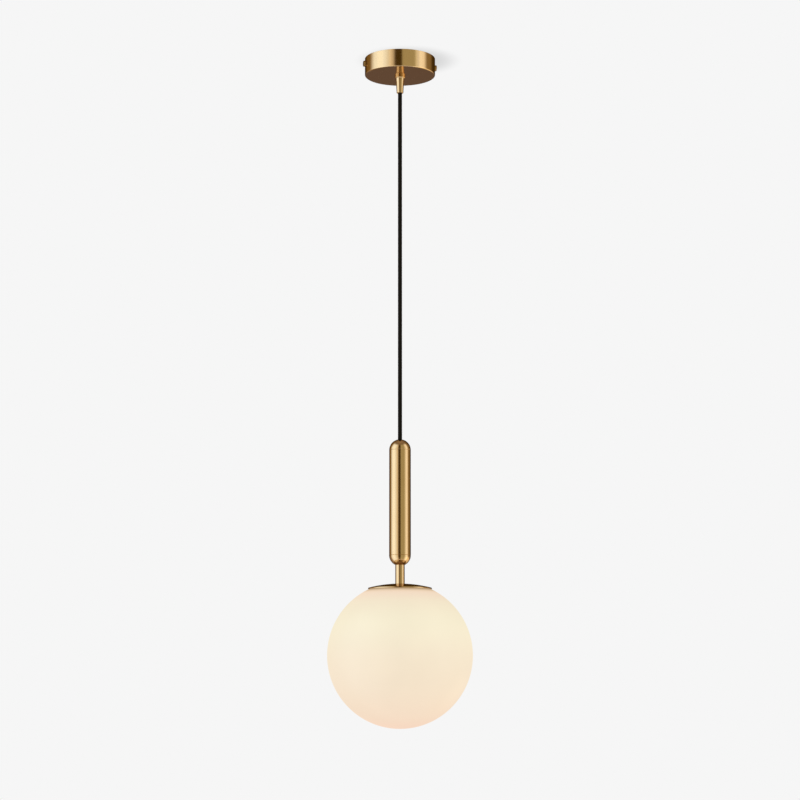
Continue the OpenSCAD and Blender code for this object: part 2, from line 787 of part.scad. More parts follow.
module holder_cap() color(black_plastic)
    rotate_extrude() difference() {
        intersection() {
            union() {
                cap_outline(0);
                bar(0, neck_r, holder_top - neck_h - 1, holder_top);
            }
            bar(m10_r, holder_r, holder_split, holder_top);
        }
        bar(0, holder_r - holder_wall, holder_split - 1, core_top);
        // room for the wires, inside the shoulder that presses on the core
        intersection() {
            cap_outline(holder_wall);
            bar(0, core_stop_r, core_top - 1, holder_top);
        }
    }

module holder_core() color(ceramic)
    difference() {
        rotate_extrude() difference() {
            union() {
                bar(0, core_r, core_low, core_top);
                bar(0, skirt_r, skirt_low, core_low + eps);
            }
            bar(-1, shell_in_r, skirt_low - 1, core_low);
            bar(shell_in_r - eps, shell_out_r, skirt_low - 1, shell_top);
        }
        for (s = [-1, 1]) translate([s * terminal_x, 0, core_top - terminal_h])
            cylinder(r = terminal_r, h = terminal_h + 1);
        translate([-leaf_slot[0] / 2, -leaf_slot[1] / 2, core_low - 1])
            cube(leaf_slot + [0, 0, 1]);
    }

module holder_terminals() color(brass)
    for (s = [-1, 1]) translate([s * terminal_x, 0, core_top - terminal_h]) difference() {
        cylinder(r = terminal_r, h = terminal_h);
        translate([0, 0, terminal_floor]) cylinder(r = wire_r + 3 * hole_gap, h = terminal_h);
    }

// A bent leaf under the core that presses on the bulb's tip
module centre_contact() color(brass)
    translate([0, leaf_w / 2, 0]) rotate([90, 0, 0]) linear_extrude(leaf_w)
        bent_strip(rounded(leaf_path, leaf_rounds), leaf_t);

module screw_shell() color(nickel) ring(shell_out_r, shell_in_r, shell_low, shell_top);

module holder_shell() color(black_plastic)
    rotate_extrude() difference() {
        union() {
            bar(0, holder_r, holder_low, holder_split);
            bar(0, holder_r - holder_wall - hole_gap, holder_split - eps, holder_split + spigot_up);
            bar(0, holder_rim_r, holder_low, holder_low + holder_rim_h);
        }
        bar(-1, core_r + hole_gap, core_low, holder_split + spigot_up + 1);
        bar(-1, skirt_r + skirt_gap, holder_low - 1, core_low + 1);
        bar(-1, holder_r - holder_wall, holder_low + holder_rim_h, core_low - ledge_h);
    }

module holder_wires()
    for (s = [-1, 1]) color(s > 0 ? "saddlebrown" : "steelblue")
        core([s * wire_spread, 0, rod_low], -0.6, [
            [s * 3, 0, rod_low - 2.2], [s * 6.2, 0, rod_low - 2.9],
            [s * (terminal_x - 0.4), 0, rod_low - 4.2], [s * terminal_x, 0, core_top - 0.6],
            [s * terminal_x, 0, core_top - 4.8]]);

module globe_glass() color(opal, 0.9)
    translate([0, 0, globe_z]) rotate_extrude() {
        difference() {
            intersection() {
                circle(r = globe_r);
                bar(0, globe_r, -globe_r, globe_r);
            }
            circle(r = glass_in_r);
            polygon([[-1, 0], [0, 0], 2 * [bead_x, bead_up], [-1, 2 * bead_up]]);
        }
        translate([bead_x, bead_up]) circle(r = bead_r);
    }

module bulb_contact() color(nickel)
    translate([0, 0, contact_z - tip_h]) cylinder(r = tip_r, h = tip_h);

module bulb_insulator() color(black_plastic)
    translate([0, 0, contact_z - tip_h - insulator_h])
        cylinder(r1 = insulator_low_r, r2 = insulator_top_r, h = insulator_h);

module bulb_screw_cap() color(nickel)
    ring(bulb_cap_r, bulb_core_r, neck_z, neck_z + bulb_cap_len);

// Half width of the bulb's flank at a height, drawn in by inset
function flank_x(z, inset) =
    (bulb_r - inset - sin(flank_dir) * (z - bulb_mid)) / cos(flank_dir);

// Outline of the bulb below its screw cap, drawn in by inset
module bulb_outline(inset) {
    low = bulb_mid - bulb_r - 1;
    intersection() {
        polygon([
            [0, neck_z], [flank_x(neck_z, inset), neck_z], [flank_x(low, inset), low], [0, low]]);
        union() {
            bar(0, bulb_d, bulb_mid + (bulb_r - inset) * sin(flank_dir), neck_z + 1);
            translate([0, bulb_mid]) circle(r = bulb_r - inset);
        }
    }
}

module bulb_housing() color(white_plastic)
    rotate_extrude() polygon([
        [0, joint_z], [flank_x(joint_z, 0), joint_z], [bulb_neck_r, neck_z],
        [bulb_core_r, neck_z], [bulb_core_r, neck_z + bulb_cap_len], [0, neck_z + bulb_cap_len]]);

module bulb_diffuser() color(opal)
    rotate_extrude() intersection() {
        difference() {
            bulb_outline(0);
            bulb_outline(diffuser_wall);
        }
        bar(0, bulb_r + 1, bulb_mid - bulb_r - 1, joint_z);
    }

mounting_bracket();
earth_screw();
earth_terminal();
canopy_cover();
side_screws();
terminal_block();
terminal_inserts();
terminal_screws();
terminal_fixing_screw();
grip_nipple();
grip_locknut();
grip_washer();
grip_collar();
grip_cone();
grip_collet();
cord_tail();
live_wire();
neutral_wire();
earth_wire();
cord_bend();
cord();
capsule_top();
capsule_tube();
capsule_bottom();
cord_clamp();
clamp_screws();
capsule_cord();
threaded_rod();
rod_nut();
rod_washer();
stem_sleeve();
globe_cap();
cap_gasket();
dome_seat();
globe_spring();
spring_washer();
holder_nut();
holder_cap();
holder_core();
holder_terminals();
centre_contact();
screw_shell();
holder_shell();
holder_wires();
globe_glass();
bulb_screw_cap();
bulb_insulator();
bulb_contact();
bulb_housing();
bulb_diffuser();
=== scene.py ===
import json
import math

import bmesh
import bpy
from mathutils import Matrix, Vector

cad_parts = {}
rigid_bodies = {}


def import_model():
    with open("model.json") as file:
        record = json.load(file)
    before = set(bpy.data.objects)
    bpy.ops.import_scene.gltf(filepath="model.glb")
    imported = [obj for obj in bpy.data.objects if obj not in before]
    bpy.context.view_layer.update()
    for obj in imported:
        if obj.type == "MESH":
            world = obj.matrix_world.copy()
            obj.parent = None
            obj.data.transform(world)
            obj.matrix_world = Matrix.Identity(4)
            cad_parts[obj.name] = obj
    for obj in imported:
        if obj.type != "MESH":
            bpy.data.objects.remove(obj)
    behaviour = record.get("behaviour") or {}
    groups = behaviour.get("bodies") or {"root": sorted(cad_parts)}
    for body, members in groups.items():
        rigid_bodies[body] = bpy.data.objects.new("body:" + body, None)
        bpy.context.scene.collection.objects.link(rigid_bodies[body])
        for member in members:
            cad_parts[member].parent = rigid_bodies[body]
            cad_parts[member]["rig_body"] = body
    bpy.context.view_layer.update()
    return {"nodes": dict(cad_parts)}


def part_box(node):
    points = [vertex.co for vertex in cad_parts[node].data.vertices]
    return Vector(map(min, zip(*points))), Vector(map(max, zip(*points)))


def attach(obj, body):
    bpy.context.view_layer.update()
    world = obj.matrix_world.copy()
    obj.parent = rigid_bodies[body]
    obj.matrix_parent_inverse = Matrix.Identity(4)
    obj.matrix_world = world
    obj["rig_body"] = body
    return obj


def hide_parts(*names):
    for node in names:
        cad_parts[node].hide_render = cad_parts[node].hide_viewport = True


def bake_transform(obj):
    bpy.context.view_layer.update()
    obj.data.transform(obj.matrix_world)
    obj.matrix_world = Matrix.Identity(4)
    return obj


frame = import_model()
scene = bpy.context.scene
mm = 0.001
fullTurn = 2 * math.pi
hardEdge = math.radians(35)  # steeper edges of a turned or stamped part stay sharp


# Shared helpers

def linear(hexCode):
    # sRGB hex to the linear colour that the shaders use
    parts = [int(hexCode[i:i + 2], 16) / 255 for i in (1, 3, 5)]
    return tuple(c / 12.92 if c <= 0.04045 else ((c + 0.055) / 1.055) ** 2.4
                 for c in parts) + (1.0,)


def addObject(name, data):
    thing = bpy.data.objects.new(name, data)
    scene.collection.objects.link(thing)
    return thing


def addNode(tree, kind, sockets=None, **settings):
    # Adds a node with its settings. A socket takes a value, or a link from a socket or from a
    # node's first output in use, or a list of links
    node = tree.nodes.new(kind)
    for name, value in settings.items():
        setattr(node, name, value)
    for key, value in (sockets or {}).items():
        if isinstance(key, int):
            target = node.inputs[key]
        else:
            target = next(s for s in node.inputs if s.enabled and key in (s.name, s.identifier))
        for source in value if isinstance(value, list) else [value]:
            if isinstance(source, bpy.types.Node):
                source = next(s for s in source.outputs if s.enabled)
            if isinstance(source, bpy.types.NodeSocket):
                tree.links.new(source, target)
            else:
                target.default_value = source
    return node


def openNodes(owner):
    # An empty shader tree on a material or a world
    owner.use_nodes = True
    owner.node_tree.nodes.clear()
    return owner.node_tree


def openTree(name, sizes):
    # A geometry tree with named inputs; sizes gives each input's kind and starting value
    tree = bpy.data.node_groups.new(name, "GeometryNodeTree")
    for way in ("INPUT", "OUTPUT"):
        tree.interface.new_socket("Geometry", in_out=way, socket_type="NodeSocketGeometry")
    for label, (kind, value) in sizes.items():
        socket = tree.interface.new_socket(label, in_out="INPUT", socket_type="NodeSocket" + kind)
        socket.default_value = value
    tree.interface.new_socket("Material", in_out="INPUT", socket_type="NodeSocketMaterial")
    return tree, addNode(tree, "NodeGroupInput").outputs


def closeTree(tree, given, geometry):
    # Smooth faces with hard edges kept, then real geometry with its material
    steep = addNode(tree, "ShaderNodeMath", {
        0: addNode(tree, "GeometryNodeInputMeshEdgeAngle"), 1: hardEdge}, operation="GREATER_THAN")
    smooth = addNode(tree, "GeometryNodeSetShadeSmooth", {
        "Geometry": geometry, "Shade Smooth": True}, domain="FACE")
    creased = addNode(tree, "GeometryNodeSetShadeSmooth", {
        "Geometry": smooth, "Selection": steep, "Shade Smooth": False}, domain="EDGE")
    real = addNode(tree, "GeometryNodeRealizeInstances", {"Geometry": creased})
    coated = addNode(tree, "GeometryNodeSetMaterial", {
        "Geometry": real, "Material": given["Material"]})
    addNode(tree, "NodeGroupOutput", {"Geometry": coated})
    return tree


def keptMesh(holder, name):
    # The holder's evaluated shape as a plain mesh on an object at the origin
    weighted = holder.modifiers.new("weighted normals", "WEIGHTED_NORMAL")
    weighted.keep_sharp = True
    graph = bpy.context.evaluated_depsgraph_get()
    mesh = bpy.data.meshes.new_from_object(
        holder.evaluated_get(graph), preserve_all_data_layers=True, depsgraph=graph)
    mesh.name = name
    holder.modifiers.clear()
    holder.data = mesh
    return holder


def grown(name, tree, base, sizes):
    # Runs a geometry tree on a base mesh; sizes are set by each input's identifier
    holder = addObject(name, base)
    change = holder.modifiers.new("shape", "NODES")
    change.node_group = tree
    for item in tree.interface.items_tree:
        if item.in_out == "INPUT" and item.name in sizes:
            change[item.identifier] = sizes[item.name]
    return keptMesh(holder, name)


def fit(piece, node):
    # The piece rides on its CAD node's body and stands for the node
    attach(piece, frame["nodes"][node]["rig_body"])
    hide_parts(node)


def span(node):
    # Widest radius, lowest and highest height of a CAD node, in millimetres
    low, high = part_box(node)
    return high.x / mm, low.z / mm, high.z / mm


# The outline of a turned part is a list of corners in millimetres: (radius, height, round of the
# corner, share of the thread). These are the usual rounds of a broken edge
crisp, fine, soft, eased = 0.05, 0.1, 0.2, 0.3


def arc(midR, midZ, radius, start, end, steps):
    # Points of a round between two angles in degrees, counted from straight outwards
    angles = [math.radians(start + (end - start) * i / steps) for i in range(steps + 1)]
    return [(midR + radius * math.cos(a), midZ + radius * math.sin(a)) for a in angles]


def threaded(radius, start, end, pitch, steps=10):
    # Closely spaced points for a thread that fades in and out over one pitch
    reach = abs(end - start) / pitch
    count = max(steps, round(reach * steps))
    return [(radius, start + (end - start) * i / count, 0,
             min(1, reach * i / count, reach * (count - i) / count)) for i in range(count + 1)]


def outline(corners, closed, steps=5):
    # Rounds the corners and gives every point as (radius, height, share of the thread)
    points = []
    for i, corner in enumerate(corners):
        radius, height, bend, cut = (tuple(corner) + (0, 0))[:4]
        inner = closed or 0 < i < len(corners) - 1
        if not bend or not inner:
            points.append((radius, height, cut))
            continue
        here = Vector((radius, height))
        toBefore = (Vector(corners[i - 1][:2]) - here).normalized()
        toAfter = (Vector(corners[(i + 1) % len(corners)][:2]) - here).normalized()
        half = toBefore.angle(toAfter) / 2
        middle = here + (toBefore + toAfter).normalized() * bend / math.sin(half)
        first = here + toBefore * bend / math.tan(half) - middle
        last = here + toAfter * bend / math.tan(half) - middle
        sweep = math.pi - 2 * half
        for step in range(steps + 1):
            t = step / steps
            swung = first * math.sin((1 - t) * sweep) + last * math.sin(t * sweep)
            points.append((*(middle + swung / math.sin(sweep)), cut))
    return points


def profileMesh(corners, closed):
    points = outline(corners, closed)
    mesh = bpy.data.meshes.new("profile")
    edges = [(i, (i + 1) % len(points)) for i in range(len(points) - (0 if closed else 1))]
    mesh.from_pydata([(r * mm, 0, z * mm) for r, z, cut in points], edges, [])
    cuts = mesh.attributes.new("thread", "FLOAT", "POINT")
    cuts.data.foreach_set("value", [cut for r, z, cut in points])
    return mesh


def makeTurnedTree():
    # Turns a profile about the Z axis. Threaded points get a helical groove, and a hexagon can
    # trim the outside the way a bar is milled, which leaves the curved edges of a chamfered nut
    flatCount = 6
    weld = 1e-6
    drillSides = 32
    drillLength = 1.0
    tree, given = openTree("turned part", {
        "Segments": ("Int", 96), "Closed": ("Int", 1), "Thread Pitch": ("Float", 0.0),
        "Thread Depth": ("Float", 0.0), "Thread Roundness": ("Float", 0.0),
        "Across Flats": ("Float", 1.0), "Cross Hole Radius": ("Float", 0.0),
        "Cross Hole Height": ("Float", 0.0)})
    profile = given["Geometry"]
    points = addNode(tree, "GeometryNodeAttributeDomainSize", {"Geometry": profile},
                     component="MESH")
    columns = addNode(tree, "FunctionNodeIntegerMath", {0: points, 1: given["Closed"]},
                      operation="ADD")
    rows = addNode(tree, "FunctionNodeIntegerMath", {0: given["Segments"], 1: 1}, operation="ADD")
    grid = addNode(tree, "GeometryNodeMeshGrid", {"Vertices X": columns, "Vertices Y": rows})
    index = addNode(tree, "GeometryNodeInputIndex")
    column = addNode(tree, "FunctionNodeIntegerMath", {0: index, 1: rows}, operation="DIVIDE")
    pointOf = addNode(tree, "FunctionNodeIntegerMath", {0: column, 1: points}, operation="MODULO")
    row = addNode(tree, "FunctionNodeIntegerMath", {0: index, 1: rows}, operation="MODULO")
    place = addNode(tree, "GeometryNodeSampleIndex", {
        "Geometry": profile, "Value": addNode(tree, "GeometryNodeInputPosition"),
        "Index": pointOf}, data_type="FLOAT_VECTOR")
    cut = addNode(tree, "GeometryNodeSampleIndex", {
        "Geometry": profile, "Index": pointOf,
        "Value": addNode(tree, "GeometryNodeInputNamedAttribute", {"Name": "thread"})},
        data_type="FLOAT")
    at = addNode(tree, "ShaderNodeSeparateXYZ", {0: place}).outputs
    around = addNode(tree, "ShaderNodeMath", {0: row, 1: given["Segments"]}, operation="DIVIDE")

    climb = addNode(tree, "ShaderNodeMath", {0: at["Z"], 1: given["Thread Pitch"]},
                    operation="DIVIDE")
    phase = addNode(tree, "ShaderNodeMath", {0: climb, 1: around}, operation="SUBTRACT")
    folded = addNode(tree, "ShaderNodeMath", {0: phase, 1: 0.5}, operation="PINGPONG")
    sharp = addNode(tree, "ShaderNodeMath", {0: folded, 1: 2.0}, operation="MULTIPLY")
    turnedPhase = addNode(tree, "ShaderNodeMath", {0: phase, 1: fullTurn}, operation="MULTIPLY")
    wave = addNode(tree, "ShaderNodeMath", {0: turnedPhase}, operation="COSINE")
    rounded = addNode(tree, "ShaderNodeMath", {0: wave, 1: -0.5, 2: 0.5},
                      operation="MULTIPLY_ADD")
    shape = addNode(tree, "ShaderNodeMix", {
        "Factor": given["Thread Roundness"], "A": sharp, "B": rounded}, data_type="FLOAT")
    depth = addNode(tree, "ShaderNodeMath", {0: cut, 1: given["Thread Depth"]},
                    operation="MULTIPLY")
    groove = addNode(tree, "ShaderNodeMath", {0: depth, 1: shape}, operation="MULTIPLY")
    grooved = addNode(tree, "ShaderNodeMath", {0: at["X"], 1: groove}, operation="SUBTRACT")

    flatShare = addNode(tree, "ShaderNodeMath", {0: around, 1: flatCount}, operation="MULTIPLY")
    inFlat = addNode(tree, "ShaderNodeMath", {0: flatShare}, operation="FRACT")
    offFlat = addNode(tree, "ShaderNodeMath", {
        0: inFlat, 1: fullTurn / flatCount, 2: -fullTurn / flatCount / 2},
        operation="MULTIPLY_ADD")
    halfFlats = addNode(tree, "ShaderNodeMath", {0: given["Across Flats"], 1: 0.5},
                        operation="MULTIPLY")
    lean = addNode(tree, "ShaderNodeMath", {0: offFlat}, operation="COSINE")
    toFlat = addNode(tree, "ShaderNodeMath", {0: halfFlats, 1: lean}, operation="DIVIDE")
    radius = addNode(tree, "ShaderNodeMath", {0: grooved, 1: toFlat}, operation="MINIMUM")

    angle = addNode(tree, "ShaderNodeMath", {0: around, 1: fullTurn}, operation="MULTIPLY")
    acrossX, acrossY = [addNode(tree, "ShaderNodeMath", {
        0: radius, 1: addNode(tree, "ShaderNodeMath", {0: angle}, operation=kind)},
        operation="MULTIPLY") for kind in ("COSINE", "SINE")]
    placed = addNode(tree, "ShaderNodeCombineXYZ", {"X": acrossX, "Y": acrossY, "Z": at["Z"]})
    turnedGrid = addNode(tree, "GeometryNodeSetPosition", {"Geometry": grid, "Position": placed})
    joined = addNode(tree, "GeometryNodeMergeByDistance", {
        "Geometry": turnedGrid, "Distance": weld})

    drill = addNode(tree, "GeometryNodeTransform", {
        "Geometry": addNode(tree, "GeometryNodeMeshCylinder", {
            "Vertices": drillSides, "Radius": given["Cross Hole Radius"], "Depth": drillLength}),
        "Translation": addNode(tree, "ShaderNodeCombineXYZ", {"Z": given["Cross Hole Height"]}),
        "Rotation": (0.0, fullTurn / 4, 0.0)})
    drilled = addNode(tree, "GeometryNodeMeshBoolean", {"Mesh 1": joined, "Mesh 2": drill},
                      operation="DIFFERENCE", solver="EXACT")
    hasHole = addNode(tree, "ShaderNodeMath", {0: given["Cross Hole Radius"], 1: 0.0},
                      operation="GREATER_THAN")
    chosen = addNode(tree, "GeometryNodeSwitch", {
        "Switch": hasHole, "False": joined, "True": drilled}, input_type="GEOMETRY")
    return closeTree(tree, given, chosen)


turnedTree = makeTurnedTree()
noFlats = 1000  # so wide across that the hexagon trims nothing


def turned(name, corners, material, closed=True, segments=96, pitch=1, depth=0, roundness=0,
           flats=noFlats, crossHole=(0, 0)):
    return grown(name, turnedTree, profileMesh(corners, closed), {
        "Segments": segments, "Closed": int(closed), "Thread Pitch": pitch * mm,
        "Thread Depth": depth * mm, "Thread Roundness": float(roundness),
        "Across Flats": flats * mm, "Cross Hole Radius": crossHole[0] * mm,
        "Cross Hole Height": crossHole[1] * mm, "Material": material})


def makeBraidTree():
    # Strands wound both ways round a route. Each passes over two and under two of the others
    strandSides = 6
    coreSides = 16
    ballSegments = 24
    tree, given = openTree("braided sheath", {
        "Strands Each Way": ("Int", 8), "Pitch": ("Float", 0.018), "Radius": ("Float", 0.0026),
        "Lift": ("Float", 0.0001), "Strand Width": ("Float", 0.001),
        "Strand Thickness": ("Float", 0.0004), "Points Per Turn": ("Int", 24),
        "Core Radius": ("Float", 0.0024), "Ball Radius": ("Float", 0.0024)})
    each = given["Strands Each Way"]
    route = addNode(tree, "GeometryNodeMeshToCurve", {"Mesh": given["Geometry"]})
    length = addNode(tree, "GeometryNodeCurveLength", {"Curve": route})
    turns = addNode(tree, "ShaderNodeMath", {0: length, 1: given["Pitch"]}, operation="DIVIDE")
    count = addNode(tree, "ShaderNodeMath", {0: turns, 1: given["Points Per Turn"], 2: 2.0},
                    operation="MULTIPLY_ADD")
    single = addNode(tree, "GeometryNodeResampleCurve", {
        "Curve": addNode(tree, "GeometryNodeCurvePrimitiveLine"), "Count": count})
    both = addNode(tree, "FunctionNodeIntegerMath", {0: each, 1: 2}, operation="MULTIPLY")
    strands = addNode(tree, "GeometryNodeDuplicateElements", {
        "Geometry": single, "Amount": both}, domain="SPLINE")
    number = strands.outputs["Duplicate Index"]
    rightHand = addNode(tree, "ShaderNodeMath", {0: number, 1: each}, operation="LESS_THAN")
    way = addNode(tree, "ShaderNodeMath", {0: rightHand, 1: 2.0, 2: -1.0},
                  operation="MULTIPLY_ADD")
    place = addNode(tree, "FunctionNodeIntegerMath", {0: number, 1: each}, operation="MODULO")
    start = addNode(tree, "ShaderNodeMath", {0: place, 1: each}, operation="DIVIDE")
    share = addNode(tree, "GeometryNodeSplineParameter").outputs["Factor"]
    wound = addNode(tree, "ShaderNodeMath", {0: share, 1: turns}, operation="MULTIPLY")
    swept = addNode(tree, "ShaderNodeMath", {0: wound, 1: way, 2: start},
                    operation="MULTIPLY_ADD")
    angle = addNode(tree, "ShaderNodeMath", {0: swept, 1: fullTurn}, operation="MULTIPLY")

    # A strand meets one of the other hand at every whole crossing. It lies above two in a row and
    # below the next two
    crossings = addNode(tree, "ShaderNodeMath", {0: wound, 1: both}, operation="MULTIPLY")
    startCrossing = addNode(tree, "ShaderNodeMath", {0: start, 1: both, 2: -0.5},
                            operation="MULTIPLY_ADD")
    shifted = addNode(tree, "ShaderNodeMath", {0: startCrossing, 1: way, 2: crossings},
                      operation="MULTIPLY_ADD")
    quarters = addNode(tree, "ShaderNodeMath", {0: shifted, 1: fullTurn / 4},
                       operation="MULTIPLY")
    rise = addNode(tree, "ShaderNodeMath", {0: quarters}, operation="COSINE")
    over = addNode(tree, "ShaderNodeMath", {0: rise, 1: way}, operation="MULTIPLY")
    lift = addNode(tree, "ShaderNodeMath", {0: over, 1: given["Lift"], 2: given["Radius"]},
                   operation="MULTIPLY_ADD")

    line = addNode(tree, "GeometryNodeSampleCurve", {
        "Curves": route, "Factor": share}, mode="FACTOR").outputs
    sideways = addNode(tree, "ShaderNodeVectorMath", {0: line["Tangent"], 1: line["Normal"]},
                       operation="CROSS_PRODUCT")
    ahead, aside = [addNode(tree, "ShaderNodeVectorMath", {
        0: axis, "Scale": addNode(tree, "ShaderNodeMath", {0: angle}, operation=kind)},
        operation="SCALE") for axis, kind in ((line["Normal"], "COSINE"), (sideways, "SINE"))]
    outward = addNode(tree, "ShaderNodeVectorMath", {0: ahead, 1: aside}, operation="ADD")
    named = addNode(tree, "GeometryNodeStoreNamedAttribute", {
        "Geometry": strands, "Name": "outward", "Value": outward}, data_type="FLOAT_VECTOR")
    alongIt = addNode(tree, "GeometryNodeStoreNamedAttribute", {
        "Geometry": named, "Name": "along", "Value": wound}, data_type="FLOAT")
    offset = addNode(tree, "ShaderNodeVectorMath", {0: outward, "Scale": lift},
                     operation="SCALE")
    onStrand = addNode(tree, "ShaderNodeVectorMath", {0: line["Position"], 1: offset},
                       operation="ADD")
    placed = addNode(tree, "GeometryNodeSetPosition", {
        "Geometry": alongIt, "Position": onStrand})
    upright = addNode(tree, "GeometryNodeSetCurveNormal", {
        "Curve": placed, "Normal": addNode(tree, "GeometryNodeInputNamedAttribute", {
            "Name": "outward"}, data_type="FLOAT_VECTOR")}, mode="FREE")
    section = addNode(tree, "GeometryNodeTransform", {
        "Geometry": addNode(tree, "GeometryNodeCurvePrimitiveCircle", {
            "Resolution": strandSides, "Radius": 0.5}),
        "Scale": addNode(tree, "ShaderNodeCombineXYZ", {
            "X": given["Strand Thickness"], "Y": given["Strand Width"], "Z": 1.0})})
    acrossIt = addNode(tree, "GeometryNodeStoreNamedAttribute", {
        "Geometry": section, "Name": "across",
        "Value": addNode(tree, "GeometryNodeSplineParameter").outputs["Factor"]},
        data_type="FLOAT")
    sheath = addNode(tree, "GeometryNodeCurveToMesh", {
        "Curve": upright, "Profile Curve": acrossIt, "Fill Caps": True})
    core = addNode(tree, "GeometryNodeCurveToMesh", {
        "Curve": route, "Fill Caps": True, "Profile Curve": addNode(
            tree, "GeometryNodeCurvePrimitiveCircle", {
                "Resolution": coreSides, "Radius": given["Core Radius"]})})
    top = addNode(tree, "GeometryNodeSampleCurve", {"Curves": route, "Factor": 0.0},
                  mode="FACTOR")
    ball = addNode(tree, "GeometryNodeTransform", {
        "Geometry": addNode(tree, "GeometryNodeMeshUVSphere", {
            "Segments": ballSegments, "Rings": ballSegments // 2,
            "Radius": given["Ball Radius"]}),
        "Translation": top.outputs["Position"]})
    together = addNode(tree, "GeometryNodeJoinGeometry", {"Geometry": [sheath, core, ball]})
    return closeTree(tree, given, together)


braidTree = makeBraidTree()
print("trees built")


# Materials

noiseLow, noiseHigh = 0.3, 0.7  # nearly all of a noise's values lie between these


def openMaterial(name):
    material = bpy.data.materials.new(name)
    tree = openNodes(material)
    return material, tree, addNode(tree, "ShaderNodeTexCoord").outputs["Object"]


def closeMaterial(material, sockets):
    tree = material.node_tree
    shader = addNode(tree, "ShaderNodeBsdfPrincipled", sockets)
    addNode(tree, "ShaderNodeOutputMaterial", {"Surface": shader})
    return material


def makeLacqueredBrass(name, roughness, grain):
    # Brass-plated steel, brushed on a lathe and lacquered: soft stretched reflections with fine
    # rings, and a thin clear gloss on top. The rings are a twentieth of a millimetre, drawn six
    # times as coarse so that they show
    brass = {"light": "#DDC39D", "deep": "#D6BA92", "edge": "#D9C6B1", "ring": 0.3, "patch": 40,
             "wander": 0.02, "groove": 0.02, "uneven": 0.2, "lacquer": 0.2, "gloss": 0.08}
    material, tree, coords = openMaterial(name)
    at = addNode(tree, "ShaderNodeSeparateXYZ", {0: coords}).outputs
    flat = addNode(tree, "ShaderNodeCombineXYZ", {"X": at["X"], "Y": at["Y"]})
    radius = addNode(tree, "ShaderNodeVectorMath", {0: flat}, operation="LENGTH")
    ringed = addNode(tree, "ShaderNodeCombineXYZ", {"X": radius, "Y": at["Z"]})
    wander = addNode(tree, "ShaderNodeVectorMath", {
        0: flat, 1: (brass["wander"], brass["wander"], 0.0), 2: ringed},
        operation="MULTIPLY_ADD")
    rings = addNode(tree, "ShaderNodeTexNoise", {
        "Vector": wander, "Scale": 1 / (brass["ring"] * mm), "Detail": 3.0, "Roughness": 0.6})
    patches = addNode(tree, "ShaderNodeTexNoise", {
        "Vector": coords, "Scale": 1 / (brass["patch"] * mm), "Detail": 2.0})
    tone = addNode(tree, "ShaderNodeMix", {
        "Factor": patches, "A": linear(brass["deep"]), "B": linear(brass["light"])},
        data_type="RGBA")
    rough = addNode(tree, "ShaderNodeMapRange", {
        "Value": rings, "To Min": roughness * (1 - brass["uneven"]),
        "To Max": roughness * (1 + brass["uneven"])})
    bump = addNode(tree, "ShaderNodeBump", {
        "Strength": grain, "Distance": brass["groove"] * mm, "Height": rings})
    return closeMaterial(material, {
        "Base Color": tone, "Metallic": 1.0, "Roughness": rough, "Normal": bump,
        "Specular Tint": linear(brass["edge"]), "Coat Weight": brass["lacquer"],
        "Coat Roughness": brass["gloss"]})


def makeBareMetal(name, light, deep, roughness, patch, scratch=0.0):
    # Plated or rolled metal as it leaves the drum: even tone with faint clouds, and short
    # scratches that run one way
    metal = {"scratchWidth": 0.4, "stretch": 0.15, "groove": 0.02, "smoothest": 0.75,
             "roughest": 1.3}
    material, tree, coords = openMaterial(name)
    clouds = addNode(tree, "ShaderNodeTexNoise", {
        "Vector": coords, "Scale": 1 / (patch * mm), "Detail": 4.0, "Roughness": 0.65})
    tone = addNode(tree, "ShaderNodeMix", {
        "Factor": clouds, "A": linear(deep), "B": linear(light)}, data_type="RGBA")
    rough = addNode(tree, "ShaderNodeMapRange", {
        "Value": clouds, "From Min": noiseLow, "From Max": noiseHigh,
        "To Min": roughness * metal["smoothest"], "To Max": roughness * metal["roughest"]})
    stretched = addNode(tree, "ShaderNodeMapping", {
        "Vector": coords, "Scale": (1.0, metal["stretch"], 1.0)})
    grain = addNode(tree, "ShaderNodeTexNoise", {
        "Vector": stretched, "Scale": 1 / (metal["scratchWidth"] * mm), "Detail": 2.0})
    bump = addNode(tree, "ShaderNodeBump", {
        "Strength": scratch, "Distance": metal["groove"] * mm, "Height": grain})
    return closeMaterial(material, {
        "Base Color": tone, "Metallic": 1.0, "Roughness": rough, "Normal": bump})


def makeMoulded(name, light, deep, roughness, pit, strength=0.15, gloss=None):
    # Moulded plastic, fired ceramic, pressed glass or rubber: a fine eggshell skin and a slight
    # drift of tone. Pit is the size of the skin's dimples
    mould = {"drift": 15, "dimple": 0.03, "uneven": 0.15}
    material, tree, coords = openMaterial(name)
    drift = addNode(tree, "ShaderNodeTexNoise", {
        "Vector": coords, "Scale": 1 / (mould["drift"] * mm), "Detail": 2.0})
    tone = addNode(tree, "ShaderNodeMix", {
        "Factor": drift, "A": linear(deep), "B": linear(light)}, data_type="RGBA")
    skin = addNode(tree, "ShaderNodeTexNoise", {
        "Vector": coords, "Scale": 1 / (pit * mm), "Detail": 2.0})
    rough = addNode(tree, "ShaderNodeMapRange", {
        "Value": skin, "To Min": roughness * (1 - mould["uneven"]),
        "To Max": roughness * (1 + mould["uneven"])})
    bump = addNode(tree, "ShaderNodeBump", {
        "Strength": strength, "Distance": mould["dimple"] * mm, "Height": skin})
    return closeMaterial(material, {
        "Base Color": tone, "Roughness": rough, "Normal": bump, **(gloss or {})})


